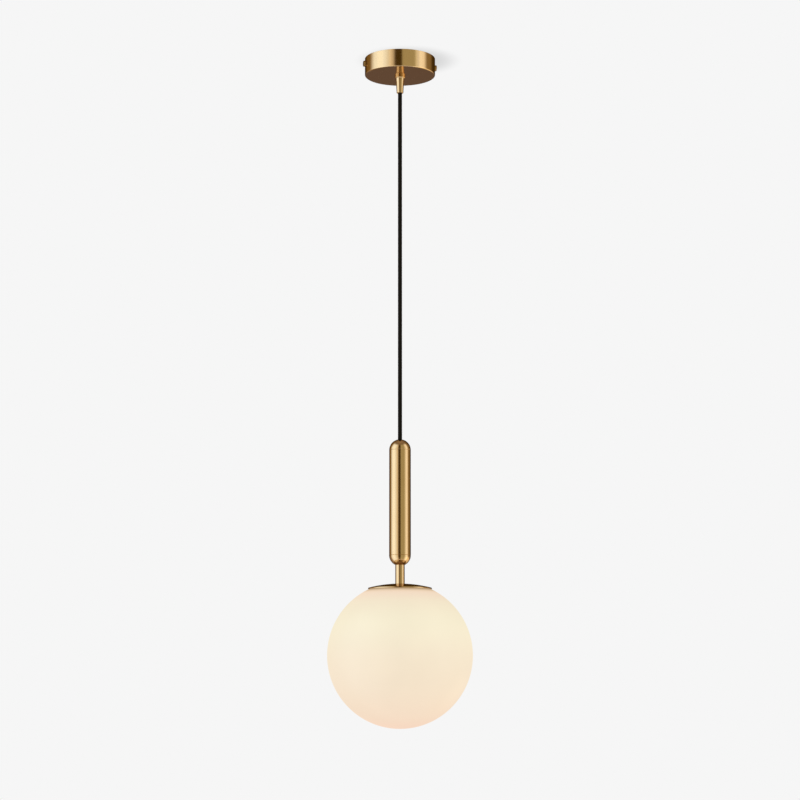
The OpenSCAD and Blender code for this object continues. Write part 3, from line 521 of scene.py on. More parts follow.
def makeTextile():
    # Polyester yarn braided over the flex: near black, with a faint brown sheen on the crests of
    # the yarn and painted shade in the valleys between yarns. Five yarns show across a strand, and
    # their lay slants past fourteen of them in one turn of the braid
    yarn = {"crest": "#221C18", "shadedValley": "#080605", "sheen": "#B08A66", "yarns": 5, "twist": 14,
            "fuzz": 0.3, "depth": 0.1}
    material, tree, coords = openMaterial("braidedPolyester")
    across, along = [addNode(tree, "ShaderNodeAttribute", attribute_name=name).outputs["Fac"]
                     for name in ("across", "along")]
    slant = addNode(tree, "ShaderNodeMath", {0: along, 1: yarn["twist"]}, operation="MULTIPLY")
    side = addNode(tree, "ShaderNodeMath", {0: across, 1: 2 * yarn["yarns"], 2: slant},
                   operation="MULTIPLY_ADD")
    fold = addNode(tree, "ShaderNodeMath", {0: side, 1: 0.5}, operation="PINGPONG")
    height = addNode(tree, "ShaderNodeMath", {0: fold, 1: 2.0}, operation="MULTIPLY")
    fuzz = addNode(tree, "ShaderNodeTexNoise", {
        "Vector": coords, "Scale": 1 / (yarn["fuzz"] * mm), "Detail": 2.0})
    mixed = addNode(tree, "ShaderNodeMath", {0: height, 1: fuzz}, operation="MULTIPLY")
    # Painted shade: the yarn's colour darkens from each crest into the valleys between yarns; the
    # fuzz's flecks are the yarn's own
    tone = addNode(tree, "ShaderNodeMix", {
        "Factor": mixed, "A": linear(yarn["shadedValley"]), "B": linear(yarn["crest"])},
        data_type="RGBA")
    bump = addNode(tree, "ShaderNodeBump", {
        "Strength": 0.5, "Distance": yarn["depth"] * mm, "Height": height})
    return closeMaterial(material, {
        "Base Color": tone, "Normal": bump, "Roughness": 0.8, "Sheen Weight": 0.12,
        "Sheen Roughness": 0.4, "Sheen Tint": linear(yarn["sheen"]),
        "Specular IOR Level": 0.2})


def makeLitGlass(name, centre, radius, stops, sockets):
    # Opal glass with the lamp on: it glows by itself, and the glow's tone changes from its foot
    # (0) to its crown (1), with a faint cloudiness of the milky glass
    milk = {"size": 1.6, "cloud": 0.015}
    material, tree, coords = openMaterial(name)
    local = addNode(tree, "ShaderNodeMapping", {
        "Vector": coords, "Location": (0.0, 0.0, -centre / radius), "Scale": (1 / radius,) * 3})
    height = addNode(tree, "ShaderNodeSeparateXYZ", {0: local}).outputs["Z"]
    share = addNode(tree, "ShaderNodeMapRange", {
        "Value": height, "From Min": -1.0, "From Max": 1.0})
    ramp = addNode(tree, "ShaderNodeValToRGB", {"Fac": share})
    ramp.color_ramp.interpolation = "B_SPLINE"
    while len(ramp.color_ramp.elements) < len(stops):
        ramp.color_ramp.elements.new(0.5)
    for element, (position, hexCode) in zip(ramp.color_ramp.elements, stops):
        element.position = position
        element.color = linear(hexCode)
    clouds = addNode(tree, "ShaderNodeTexNoise", {
        "Vector": local, "Scale": milk["size"], "Detail": 2.0})
    cloud = addNode(tree, "ShaderNodeMapRange", {
        "Value": clouds, "From Min": noiseLow, "From Max": noiseHigh,
        "To Min": 1 - milk["cloud"], "To Max": 1 + milk["cloud"]})
    glow = addNode(tree, "ShaderNodeVectorMath", {0: ramp, "Scale": cloud}, operation="SCALE")
    return closeMaterial(material, {**sockets, "Emission Color": glow})


# Satin on the cup, the capsule and the cap, which draws soft upright bands of light; polished on
# the grip and the stem, where the bands have sharper edges
satinBrass = makeLacqueredBrass("lacqueredSpunBrass", roughness=0.13, grain=0.02)
polishedBrass = makeLacqueredBrass("lacqueredPolishedBrass", roughness=0.09, grain=0.01)

# Turned brass is bright yellow, and on the side screws a darker brown. Zinc is bluish and even,
# nickel warm and shiny, and rolled spring steel grey with streaks
plainBrass = makeBareMetal("machinedBrass", "#D8B777", "#C9A25C", 0.30, 3, 0.1)
darkerBrass = makeBareMetal("darkerScrewBrass", "#B0905F", "#8F7149", 0.28, 3, 0.1)
zincSteel = makeBareMetal("zincPlatedSteel", "#C9CDD2", "#B4B6B6", 0.34, 4, 0.15)
nickelSteel = makeBareMetal("nickelPlatedSteel", "#D9D3C8", "#C8C0B2", 0.22, 6, 0.05)
springSteel = makeBareMetal("rolledSpringSteel", "#C4C2BC", "#A9A69E", 0.26, 8, 0.2)

# Nylon is a soft white, phenolic a black with a slight shine, porcelain cream under a clear glaze
whitePlastic = makeMoulded("mouldedNylon", "#F1F0EB", "#E6E4DC", 0.45, 0.5)
blackPlastic = makeMoulded("mouldedPhenolic", "#1E1D1C", "#141312", 0.35, 0.6)
porcelain = makeMoulded("glazedPorcelain", "#F3F1EA", "#E9E4D8", 0.12, 4.0, 0.05, {
    "Coat Weight": 0.5, "Coat Roughness": 0.05})

# Silicone rubber is matt and waxy: the ring in the cap, and the sleeves of the cores
gasketRubber = makeMoulded("siliconeRubber", "#C9C6BE", "#BDB9AF", 0.6, 0.4, 0.2)
brownSleeve = makeMoulded("brownSilicone", "#6B3F22", "#5A331A", 0.5, 0.3)
blueSleeve = makeMoulded("blueSilicone", "#3E74B4", "#34659F", 0.5, 0.3)
greenSleeve = makeMoulded("greenYellowSilicone", "#BFC23A", "#A9B02C", 0.5, 0.3)

# Pressed black glass between the bulb's contacts, near black and smooth as a mirror
blackGlass = makeMoulded("pressedBlackGlass", "#141216", "#0D0B0F", 0.1, 2.0, 0.05)
textile = makeTextile()
print("materials made")


# Camera: a long lens level with the lower half of the globe, turned a little and tilted up, in
# metres and degrees, and the lens in millimetres
view = {"distance": 2.933, "turn": 12.7, "drop": 0.8938, "tilt": 7.825, "lens": 95.5}
swing = math.radians(view["turn"])
toEye = (-math.sin(swing), -math.cos(swing))  # from the lamp to the camera, seen from above
toRight = (math.cos(swing), -math.sin(swing))

eye = addObject("camera", bpy.data.cameras.new("camera"))
eye.data.lens = view["lens"]
eye.location = (view["distance"] * toEye[0], view["distance"] * toEye[1], -view["drop"])
eye.rotation_euler = (math.radians(90 + view["tilt"]), 0, -swing)
scene.camera = eye
print("camera set")


# Cord: textile flex that hangs straight from the mouth of the grip to the crest of the capsule,
# in metres
cord = {"diameter": 0.006, "mouth": -0.050, "bend": 0.006, "bendsFrom": 0.0018, "pitch": 0.018,
        "lift": 0.00009, "strandWidth": 0.00112, "strandThickness": 0.00042, "ballGap": 0.0001,
        "plainEnd": 0.9}
cordDrops = [0, 0.006, 0.016, 0.030, 0.050, 0.075, 0.100, 0.125, 0.150, 0.175, 0.200, 0.225,
             0.250, 0.275, 0.300, 0.325, 0.350, 0.375, 0.400, 0.425, 0.450, 0.470, 0.485, 0.496]


def braided(name, heights, ball=False):
    # Without a ball, the sphere at the top end is small enough to lie inside the core
    line = bpy.data.meshes.new(name)
    line.from_pydata([(0, 0, z) for z in heights],
                     [(i, i + 1) for i in range(len(heights) - 1)], [])
    under = cord["diameter"] / 2 - cord["strandThickness"] / 2 - cord["lift"]
    core = under - cord["lift"]
    return grown(name, braidTree, line, {
        "Pitch": cord["pitch"], "Radius": under, "Lift": cord["lift"],
        "Strand Width": cord["strandWidth"], "Strand Thickness": cord["strandThickness"],
        "Core Radius": core, "Material": textile,
        "Ball Radius": cord["diameter"] / 2 - cord["ballGap"] if ball
        else core * cord["plainEnd"]})


def makeCords():
    # The free cord ends in a ball at the point that it swings about, inside the mouth of the grip
    route = [(0, 0, cord["mouth"] - drop) for drop in cordDrops]
    freeCord = braided("braidedCord", [point[2] for point in route], ball=True)
    fit(freeCord, "cord")
    top = span("cord_tail")[2] * mm
    low = cord["mouth"] + cord["bend"]
    fit(braided("cordTail", [top, low]), "cord_tail")
    bend = braided("cordBend", [low, cord["mouth"]])
    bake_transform(bend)
    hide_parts("cord_bend")


makeCords()
print("cords braided")


# Ceiling cup, its side screws' holes and the grip under it
cup = {"wall": 1.0, "corner": 2.0, "bore": 5.1, "edge": 0.3, "screwHole": 2.1, "screwDrop": -10.0}


def makeCup():
    r, low, high = span("canopy_cover")
    inside = r - cup["wall"]
    floor = low + cup["wall"]
    piece = turned("ceilingCup", [
        (r, high, cup["edge"]), (r, low, cup["corner"]), (cup["bore"], low, soft),
        (cup["bore"], floor, soft), (inside, floor, cup["corner"] - cup["wall"]),
        (inside, high, cup["edge"])],
        satinBrass, segments=256, crossHole=(cup["screwHole"], cup["screwDrop"]))
    fit(piece, "canopy_cover")


grip = {"bore": 5.1, "ring": 2.8, "ringInset": 0.1, "ringEdge": 0.25, "bevel": 0.9, "neck": 6.4,
        "taper": 0.05, "waist": 5.62, "waistDrop": 5, "sweep": 8, "rim": 4.8, "rimHeight": 1,
        "lip": 0.8, "mouth": 3.25, "flare": 0.85, "flareHeight": 1.6, "seatLow": 3.9,
        "seatHigh": 4.4, "seatFrom": 6, "seatTo": 14.5, "nipple": 5, "nippleFrom": 15}


def makeGrip():
    # The collar sits against the cup with an upright ring. The cone screws up to it, squeezes
    # the collet on the cord, and narrows fast at first, then slowly
    r, low, high = span("grip_collar")
    ringR = r - grip["ringInset"]
    ringLow = high - grip["ring"]
    collar = turned("gripCollar", [
        (ringR, high, fine), (ringR, ringLow, grip["ringEdge"]),
        (grip["neck"], ringLow - grip["bevel"], soft), (grip["neck"] - grip["taper"], low, fine),
        (grip["bore"], low, fine), (grip["bore"], high, fine)], polishedBrass)
    fit(collar, "grip_collar")

    r, low, high = span("grip_cone")
    seatFrom, seatTo, nippleFrom = [low + grip[k] for k in ("seatFrom", "seatTo", "nippleFrom")]
    cone = turned("gripCone", [
        (r, high, fine), (grip["waist"], high - grip["waistDrop"], grip["sweep"]),
        (grip["rim"], low + grip["rimHeight"]), (grip["rim"], low, grip["lip"]),
        (grip["mouth"] + grip["flare"], low, crisp),
        (grip["mouth"], low + grip["flareHeight"], eased),
        (grip["mouth"], seatFrom), (grip["seatLow"], seatFrom), (grip["seatHigh"], seatTo),
        (grip["seatHigh"], nippleFrom), (grip["nipple"], nippleFrom),
        (grip["nipple"], high, fine)], polishedBrass)
    fit(cone, "grip_cone")


makeCup()
makeGrip()
print("ceiling cup and grip made")


# Capsule: two round ends with spigots, and the tube between them. The seams are V grooves
capsule = {"wall": 1.5, "cordHole": 3.25, "crestEdge": 0.45, "crestDrop": 0.9, "seam": 0.3,
           "endSeam": 0.25, "endTurn": 1.2, "endSteps": 32, "spigot": 8, "clampHole": 8.1,
           "clampTop": 5, "rodHole": 5, "stemHole": 6.6}


def makeCapsule():
    r, low, high = span("capsule_tube")
    spigot = r - capsule["wall"]
    seam = capsule["seam"]
    tube = turned("capsuleTube", [
        (spigot, high, fine), (r - seam, high, crisp), (r, high - seam, fine),
        (r, low + seam, fine), (r - seam, low, crisp), (spigot, low, fine)],
        satinBrass, segments=128)
    fit(tube, "capsule_tube")

    hole = capsule["cordHole"]
    start = math.degrees(math.acos((hole + capsule["crestEdge"]) / r))
    spigotEnd = high - capsule["spigot"]
    clampTop = high + capsule["clampTop"]
    top = turned("capsuleTop", [
        (hole, high + r - capsule["crestDrop"]),
        *arc(0, high, r, start, capsule["endTurn"], capsule["endSteps"]),
        (r - capsule["endSeam"], high, fine), (spigot, high), (spigot, spigotEnd, eased),
        (capsule["clampHole"], spigotEnd, soft), (capsule["clampHole"], clampTop),
        (hole, clampTop)], satinBrass, segments=128)
    fit(top, "capsule_top")

    hole = capsule["stemHole"]
    end = -math.degrees(math.acos((hole + crisp) / r))
    stemTop = span("stem_sleeve")[2]
    spigotEnd = low + capsule["spigot"]
    bottom = turned("capsuleBottom", [
        (spigot, spigotEnd, eased), (spigot, low), (r - capsule["endSeam"], low, fine),
        *arc(0, low, r, -capsule["endTurn"], end, capsule["endSteps"]),
        (hole, low + r * math.sin(math.radians(end))), (hole, stemTop),
        (capsule["rodHole"], stemTop), (capsule["rodHole"], spigotEnd, soft)],
        satinBrass, segments=128)
    fit(bottom, "capsule_bottom")


makeCapsule()


# Stem sleeve and the domed cap over the globe's mouth
cap = {"wall": 1.0, "rise": 5.6, "bore": 5.1, "flat": 7.5, "edge": 0.4, "roll": 0.6, "steps": 40}


def makeStemAndCap():
    r, low, high = span("stem_sleeve")
    stem = turned("stemSleeve", [
        (r, high, eased), (r, low, eased), (cap["bore"], low, soft), (cap["bore"], high, soft)],
        polishedBrass)
    fit(stem, "stem_sleeve")

    # The dome is a shallow part of a large ball, flat where the stem stands on it
    r, low, high = span("globe_cap")
    flat = cap["flat"]
    dome = (r * r - flat ** 2 + cap["rise"] ** 2) / (2 * cap["rise"])
    middle = high - math.sqrt(dome * dome - flat ** 2)
    inR = r - cap["wall"]
    inDome = dome - cap["wall"]
    under = high - cap["wall"]
    start, edge, inEdge = [math.degrees(math.acos(share)) for share in (
        flat / dome, r / dome, inR / inDome)]
    inFlat = math.degrees(math.asin((under - middle) / inDome))
    piece = turned("globeCap", [
        (cap["bore"], high), *arc(0, middle, dome, start, edge, cap["steps"])[:-1],
        (r, middle + dome * math.sin(math.radians(edge)), cap["roll"]), (r, low, cap["edge"]),
        (inR, low, cap["edge"]), *arc(0, middle, inDome, inEdge, inFlat, cap["steps"]),
        (cap["bore"], under)], satinBrass, segments=192)
    fit(piece, "globe_cap")


makeStemAndCap()
print("capsule, stem and cap made")


# Globe: blown opal glass with a melted rim, lit from inside. The glow is darker under the cap,
# where the cap and the spring hold the light back
globe = {"wall": 3.0, "mouth": 40.0, "ballSteps": 96, "rimSteps": 12, "skin": "#3E4048",
         "glow": [(0.0, "#F7D6BE"), (0.08, "#F5DCC2"), (0.27, "#F6E4CA"), (0.5, "#F9E9CF"),
                  (0.7, "#FAF2D5"), (0.86, "#F6E9CD"), (0.92, "#F8DFC8"), (0.935, "#F3D9BA"),
                  (0.945, "#C9AC88"), (0.956, "#98805C"), (1.0, "#7A6244")]}


def makeGlobe():
    r, low, high = span("globe_glass")
    middle = low + r
    bead = globe["wall"] / 2
    beadR = globe["mouth"] + bead
    beadUp = math.sqrt((r - bead) ** 2 - beadR ** 2)
    lean = math.degrees(math.atan2(beadUp, beadR))
    steps = globe["ballSteps"]
    opal = makeLitGlass("opalGlass", middle * mm, r * mm, globe["glow"], {
        "Base Color": linear(globe["skin"]), "Roughness": 0.4, "Emission Strength": 0.93,
        "Specular IOR Level": 0.3})
    piece = turned("globeGlass", [
        *arc(0, middle, r - globe["wall"], -90, lean, steps),
        *arc(beadR, middle + beadUp, bead, lean + 180, lean, globe["rimSteps"])[1:],
        *arc(0, middle, r, lean, -90, steps)[1:]], opal, closed=False, segments=192)
    fit(piece, "globe_glass")


makeGlobe()
print("globe made")


# Threaded tubes, nuts and washers
thread = {"pitch": 1.0, "depth": 0.55, "lead": 0.5, "bore": 3.25, "roundness": 0.2}
nut = {"bore": 5.0, "lead": 0.4, "face": 0.95, "chamfer": 30, "steps": 8}


def makeThreadedTube(node):
    r, low, high = span(node)
    lead = thread["lead"]
    piece = turned(node + ".threaded", [
        (thread["bore"], high), (r - lead, high),
        *threaded(r, high - lead, low + lead, thread["pitch"]), (r - lead, low),
        (thread["bore"], low)], zincSteel, segments=48, pitch=thread["pitch"],
        depth=thread["depth"], roundness=thread["roundness"])
    fit(piece, node)


def makeNut(node):
    # A turned blank whose outside is milled to six flats, so that the chamfers meet them in arcs
    corner, low, high = span(node)
    flats = corner * math.sqrt(3)
    face = nut["face"] * flats / 2
    drop = (corner - face) * math.tan(math.radians(nut["chamfer"]))
    steps = nut["steps"]
    slope = [(face + (corner - face) * i / steps, drop * i / steps) for i in range(steps + 1)]
    mouth = nut["bore"] + nut["lead"]
    piece = turned(node + ".milled", [
        (mouth, high), *[(r, high - down) for r, down in slope],
        *[(r, low + down) for r, down in reversed(slope)], (mouth, low),
        (nut["bore"], low + nut["lead"]), (nut["bore"], high - nut["lead"])],
        zincSteel, flats=flats, segments=144)
    fit(piece, node)


for node in ("grip_nipple", "threaded_rod"):
    makeThreadedTube(node)
for node in ("grip_locknut", "rod_nut", "holder_nut"):
    makeNut(node)


# Toothed washers: a ring with teeth stamped round it, each twisted so that its corners bite. The
# teeth grow a little way inside the ring
toothed = {"teeth": 12, "root": 7.3, "overlap": 0.2, "inset": 0.1, "bore": 5.1, "width": 3.2,
           "twist": 9, "thick": 0.55, "punched": 0.08}


def makeToothedTree():
    tree, given = openTree("toothed washer", {
        "Teeth": ("Int", 12), "Middle Radius": ("Float", 0.008), "Length": ("Float", 0.002),
        "Width": ("Float", 0.003), "Thickness": ("Float", 0.0006), "Twist": ("Float", 0.1),
        "Height": ("Float", 0.0)})
    places = addNode(tree, "GeometryNodeMeshCircle", {
        "Vertices": given["Teeth"], "Radius": given["Middle Radius"]})
    size = addNode(tree, "ShaderNodeCombineXYZ", {
        "X": given["Length"], "Y": given["Width"], "Z": given["Thickness"]})
    tooth = addNode(tree, "GeometryNodeTransform", {
        "Geometry": addNode(tree, "GeometryNodeMeshCube", {"Size": size}),
        "Rotation": addNode(tree, "ShaderNodeCombineXYZ", {"X": given["Twist"]})})
    share = addNode(tree, "ShaderNodeMath", {
        0: addNode(tree, "GeometryNodeInputIndex"), 1: given["Teeth"]}, operation="DIVIDE")
    turn = addNode(tree, "ShaderNodeMath", {0: share, 1: fullTurn}, operation="MULTIPLY")
    teeth = addNode(tree, "GeometryNodeInstanceOnPoints", {
        "Points": places, "Instance": tooth,
        "Rotation": addNode(tree, "ShaderNodeCombineXYZ", {"Z": turn})})
    raised = addNode(tree, "GeometryNodeTransform", {
        "Geometry": teeth,
        "Translation": addNode(tree, "ShaderNodeCombineXYZ", {"Z": given["Height"]})})
    real = addNode(tree, "GeometryNodeRealizeInstances", {"Geometry": raised})
    together = addNode(tree, "GeometryNodeJoinGeometry", {"Geometry": [real, given["Geometry"]]})
    return closeTree(tree, given, together)


toothedTree = makeToothedTree()


def makeToothedWasher(node):
    r, low, high = span(node)
    middle = (low + high) / 2
    top, under = middle + toothed["thick"] / 2, middle - toothed["thick"] / 2
    outer = toothed["root"] + toothed["overlap"]
    ring = turned(node + ".ring", [
        (outer, top, fine), (outer, under, fine), (toothed["bore"], under, fine),
        (toothed["bore"], top, fine)], zincSteel)
    mesh = ring.data
    bpy.data.objects.remove(ring)
    piece = grown(node + ".stamped", toothedTree, mesh, {
        "Teeth": toothed["teeth"], "Length": (r - toothed["root"]) * mm,
        "Middle Radius": ((toothed["root"] + r) / 2 - toothed["inset"]) * mm,
        "Width": toothed["width"] * mm, "Thickness": toothed["thick"] * mm,
        "Twist": math.radians(toothed["twist"]), "Height": middle * mm, "Material": zincSteel})
    fit(piece, node)


def makePlainWasher(node):
    # Punched from sheet: rolled over where the punch went in, crisp where it came out
    r, low, high = span(node)
    piece = turned(node + ".punched", [
        (r, high, soft), (r, low, toothed["punched"]),
        (toothed["bore"], low, toothed["punched"]), (toothed["bore"], high, soft)], zincSteel)
    fit(piece, node)


for node in ("grip_washer", "spring_washer"):
    makeToothedWasher(node)
makePlainWasher("rod_washer")
print("threads, nuts and washers made")


# Lampholder: moulded cap and shell, thread-rolled screw shell
holder = {"wall": 2.0, "neck": 8.5, "neckHeight": 5.0, "neckEdge": 0.5, "shoulder": 9.0,
          "bore": 5.0, "stopR": 14.6, "coreTop": 13.0, "spigotGap": 0.1, "rim": 3.0,
          "rimEdge": 0.8, "rimFoot": 0.4, "skirt": 15.8, "skirtEdge": 0.5, "ledgeTop": 27.0,
          "ledge": 2.0, "coreR": 16.7, "outerSteps": 20, "innerSteps": 12}


def makeHolder():
    r, low, top = span("holder_cap")
    bend = holder["shoulder"]
    wall = holder["wall"]
    neck, neckEdge = holder["neck"], holder["neckEdge"]
    middle = top - holder["neckHeight"] - bend
    under = middle + bend - wall
    core = top - holder["coreTop"]
    stop = math.degrees(math.acos((holder["stopR"] - (r - bend)) / (bend - wall)))
    piece = turned("holderCap", [
        (neck, top, neckEdge), (neck, middle + bend, neckEdge),
        *arc(r - bend, middle, bend, 90, 0, holder["outerSteps"]), (r, low, eased),
        (r - wall, low, soft), (r - wall, core), (holder["stopR"], core),
        *arc(r - bend, middle, bend - wall, stop, 90, holder["innerSteps"]),
        (holder["bore"], under), (holder["bore"], top, eased)], blackPlastic, segments=128)
    fit(piece, "holder_cap")

    split = low
    rimR, low, high = span("holder_shell")
    inside = r - wall
    plug = inside - holder["spigotGap"]
    rimTop = low + holder["rim"]
    rimEdge = holder["rimEdge"]
    skirt = holder["skirt"]
    ledge = top - holder["ledgeTop"]
    ledgeLow = ledge - holder["ledge"]
    piece = turned("holderShell", [
        (plug, high, eased), (plug, split), (r, split, eased), (r, rimTop, holder["rimFoot"]),
        (rimR, rimTop, rimEdge), (rimR, low, rimEdge), (skirt, low, holder["skirtEdge"]),
        (skirt, rimTop, soft), (inside, rimTop, soft), (inside, ledgeLow, eased),
        (skirt, ledgeLow, soft), (skirt, ledge), (holder["coreR"], ledge),
        (holder["coreR"], high, soft)], blackPlastic, segments=128)
    fit(piece, "holder_shell")


rolled = {"pitch": 3.629, "wall": 0.6, "shellDepth": 0.22, "shellSteps": 16, "capDepth": 0.9,
          "capWall": 1.2, "capSteps": 20, "lead": 0.8, "leadDrop": 0.6, "leadR": 0.15}


def makeScrewShell():
    # Both faces of the sheet carry the same wave
    r, low, high = span("screw_shell")
    inside = r - rolled["wall"]
    piece = turned("screwShell", [
        *threaded(r, high, low, rolled["pitch"], rolled["shellSteps"]),
        *threaded(inside, low, high, rolled["pitch"], rolled["shellSteps"])],
        nickelSteel, pitch=rolled["pitch"], depth=rolled["shellDepth"], roundness=1)
    fit(piece, "screw_shell")


makeHolder()
makeScrewShell()


# Bulb: rolled screw cap, black glass insulator, solder tip, plastic body and frosted end. The
# body's flank runs straight from its neck to where it touches the ball of the frosted end
bulb = {"neck": 13.6, "neckGap": 0.01, "bodyR": 30.0, "wall": 1.2, "core": 11.6, "capGap": 0.6,
        "shoulder": 0.6, "tipRound": 1.0, "tipGap": 0.08, "tipRim": 1, "dishWidth": 1.6,
        "dishDepth": 2.2, "dishRound": 2.0, "groove": 0.5, "grooveTop": 1, "grooveStep": 0.8,
        "ballSteps": 48, "skin": "#8E918F",
        "glow": [(0.0, "#FFF3DC"), (0.6, "#FFF1D6"), (0.93, "#F6E2BE")]}


def makeBulb():
    r, low, high = span("bulb_screw_cap")
    inside = r - rolled["capWall"]
    lead = rolled["lead"]
    piece = turned("bulbScrewCap", [
        (r - lead, high), (r - rolled["leadR"], high - rolled["leadDrop"]),
        *threaded(r, high - lead, low, rolled["pitch"], rolled["capSteps"]), (inside, low),
        (inside, high)], nickelSteel, pitch=rolled["pitch"], depth=rolled["capDepth"],
        roundness=1)
    fit(piece, "bulb_screw_cap")

    wide, insLow, insHigh = span("bulb_insulator")
    tipR, tipLow, tipHigh = span("bulb_contact")
    tipTop = tipHigh - bulb["tipGap"]
    rimR = tipR + bulb["tipRim"]
    piece = turned("bulbInsulator", [
        (0, insHigh), (rimR, insHigh, eased),
        (rimR + bulb["dishWidth"], insHigh - bulb["dishDepth"], bulb["dishRound"]),
        (wide, insLow, crisp), (0, insLow)], blackGlass, closed=False)
    fit(piece, "bulb_insulator")
    piece = turned("bulbContact", [
        (0, tipTop), (tipR, tipTop, bulb["tipRound"]), (tipR, tipLow), (0, tipLow)],
        nickelSteel, closed=False, segments=64)
    fit(piece, "bulb_contact")

    ball = bulb["bodyR"]
    ballLow, joint = span("bulb_diffuser")[1:]
    middle = ballLow + ball
    reach = math.hypot(bulb["neck"], low - middle)
    lean = math.atan2(low - middle, bulb["neck"]) - math.acos(ball / reach)

    def flank(z, inset):
        return (ball - inset - math.sin(lean) * (z - middle)) / math.cos(lean)

    groove = bulb["groove"]
    grooveTop = joint + bulb["grooveTop"]
    capTop = high - bulb["capGap"]
    piece = turned("bulbHousing", [
        (0, capTop), (bulb["core"], capTop), (bulb["core"], low - bulb["neckGap"]),
        (bulb["neck"], low, bulb["shoulder"]), (flank(grooveTop, 0), grooveTop, fine),
        (flank(grooveTop, groove), joint + bulb["grooveStep"], fine),
        (flank(joint, groove), joint), (0, joint)], whitePlastic, closed=False, segments=128)
    fit(piece, "bulb_housing")

    tilt = math.degrees(lean)
    frosted = makeLitGlass("frostedPolycarbonate", middle * mm, ball * mm, bulb["glow"], {
        "Base Color": linear(bulb["skin"]), "Roughness": 0.5, "Emission Strength": 0.8})
    piece = turned("bulbDiffuser", [
        *arc(0, middle, ball - bulb["wall"], -90, tilt, bulb["ballSteps"]),
        (flank(joint, bulb["wall"]), joint), (flank(joint, 0), joint),
        *arc(0, middle, ball, tilt, -90, bulb["ballSteps"])], frosted, closed=False,
        segments=128)
    fit(piece, "bulb_diffuser")


makeBulb()
print("lampholder and bulb made")


# Other nodes: the CAD solid with its sharp edges broken. Points closer than the weld, in metres,
# are joined, and faces that meet within the flat angle become one
softening = {"weld": 2e-6, "flat": 0.5, "sharp": 30, "broken": 40, "steps": 2}
softened = [  # node, material, slot, and the width of the broken edge in millimetres
    ("mounting_bracket", zincSteel, "zinc_steel", 0.2),
    # The side screws take the darker brown brass
    ("side_screws", darkerBrass, "plain_brass", 0.12),
    ("earth_screw", plainBrass, "plain_brass", 0.1),
    ("earth_terminal", nickelSteel, "nickel", 0.08),
    ("terminal_block", whitePlastic, "white_plastic", 0.3),
    ("grip_collet", whitePlastic, "white_plastic", 0.1),
    ("cord_clamp", whitePlastic, "white_plastic", 0.2),
    ("clamp_screws", zincSteel, "zinc_steel", 0.08),
    ("terminal_screws", nickelSteel, "nickel", 0.08),
    ("terminal_fixing_screw", nickelSteel, "nickel", 0.1),
    ("cap_gasket", gasketRubber, "gasket", 0.1),
    ("dome_seat", zincSteel, "zinc_steel", 0.1),
    ("globe_spring", springSteel, "spring_steel", 0.15),
    ("holder_core", porcelain, "porcelain", 0.4),
    ("holder_terminals", plainBrass, "plain_brass", 0.1),
    ("centre_contact", plainBrass, "plain_brass", 0.1),
    ("terminal_inserts", plainBrass, "plain_brass", 0.1)]


def makeSoftened(node, material, width):
    mesh = frame["nodes"][node].data.copy()
    work = bmesh.new()
    work.from_mesh(mesh)
    bmesh.ops.remove_doubles(work, verts=work.verts, dist=softening["weld"])
    bmesh.ops.dissolve_limit(work, angle_limit=math.radians(softening["flat"]),
                             verts=work.verts, edges=work.edges)
    for face in work.faces:
        face.smooth = True
    work.to_mesh(mesh)
    work.free()
    mesh.materials.clear()
    mesh.materials.append(material)
    mesh.set_sharp_from_angle(angle=math.radians(softening["sharp"]))
    holder = addObject(node + ".softened", mesh)
    bevel = holder.modifiers.new("edges", "BEVEL")
    bevel.width = width * mm
    bevel.segments = softening["steps"]
    bevel.angle_limit = math.radians(softening["broken"])
    bevel.harden_normals = True
    bevel.use_clamp_overlap = True
    fit(keptMesh(holder, holder.name), node)


for node, material, slotName, width in softened:
    makeSoftened(node, material, width)
print("softened:", len(softened))


# Carried-over nodes keep their shape and take a finish
carried = {"live_wire": brownSleeve, "neutral_wire": blueSleeve, "earth_wire": greenSleeve,
           "holder_wires": brownSleeve, "capsule_cord": textile}
for node, finish in carried.items():
    frame["nodes"][node].data.materials.clear()
    frame["nodes"][node].data.materials.append(finish)
print("carried over:", len(carried))


# Stage: pale backdrop for the camera, and a studio for reflections. Ground is the light from
# straight below, dark that from the sides. Heights are the sine of how far up one looks
room = {"backdrop": "#F6F6F6", "ground": (0.20, 0.127, 0.060, 1), "groundTop": -0.9,
        "dark": (0.08, 0.045, 0.007, 1), "darkFrom": -0.3, "darkTo": 0.65,
        "ceiling": (0.34, 0.236, 0.147, 1), "ceilingFrom": 0.98, "feather": 0.25}

# Tall feathered panels stand round the lamp. Each has the angle of its middle, counted to the
# right from the line between lamp and camera, half its width and its soft edge, all in degrees,
# then its foot, its head and its light
panels = {
    "warmRim": (-122, 8, 26, -1.10, 0.90, (0.20, 0.125, 0.04)),
    "brightLeft": (-72, 16, 30, -1.10, 0.90, (1.22, 1.33, 1.37)),
    "leftFalloff": (-34, 2, 18, -1.10, 0.90, (0.46, 0.43, 0.32)),
    "leftOfDark": (-27, 4, 10, -0.90, 0.90, (0.42, 0.36, 0.28)),
    "halfLight": (33, 23, 6, -0.90, 0.90, (0.42, 0.38, 0.22)),
    "brightStrip": (74, 6, 22, -1.10, 0.90, (1.08, 1.04, 0.91)),
    "pastStrip": (103, 12, 22, -0.75, 0.90, (0.24, 0.17, 0.08)),
    "lowRight": (112, 22, 28, -1.10, -0.10, (0.75, 0.60, 0.35)),
    "behind": (180, 55, 50, -0.75, 0.05, (0.11, 0.10, 0.13))}


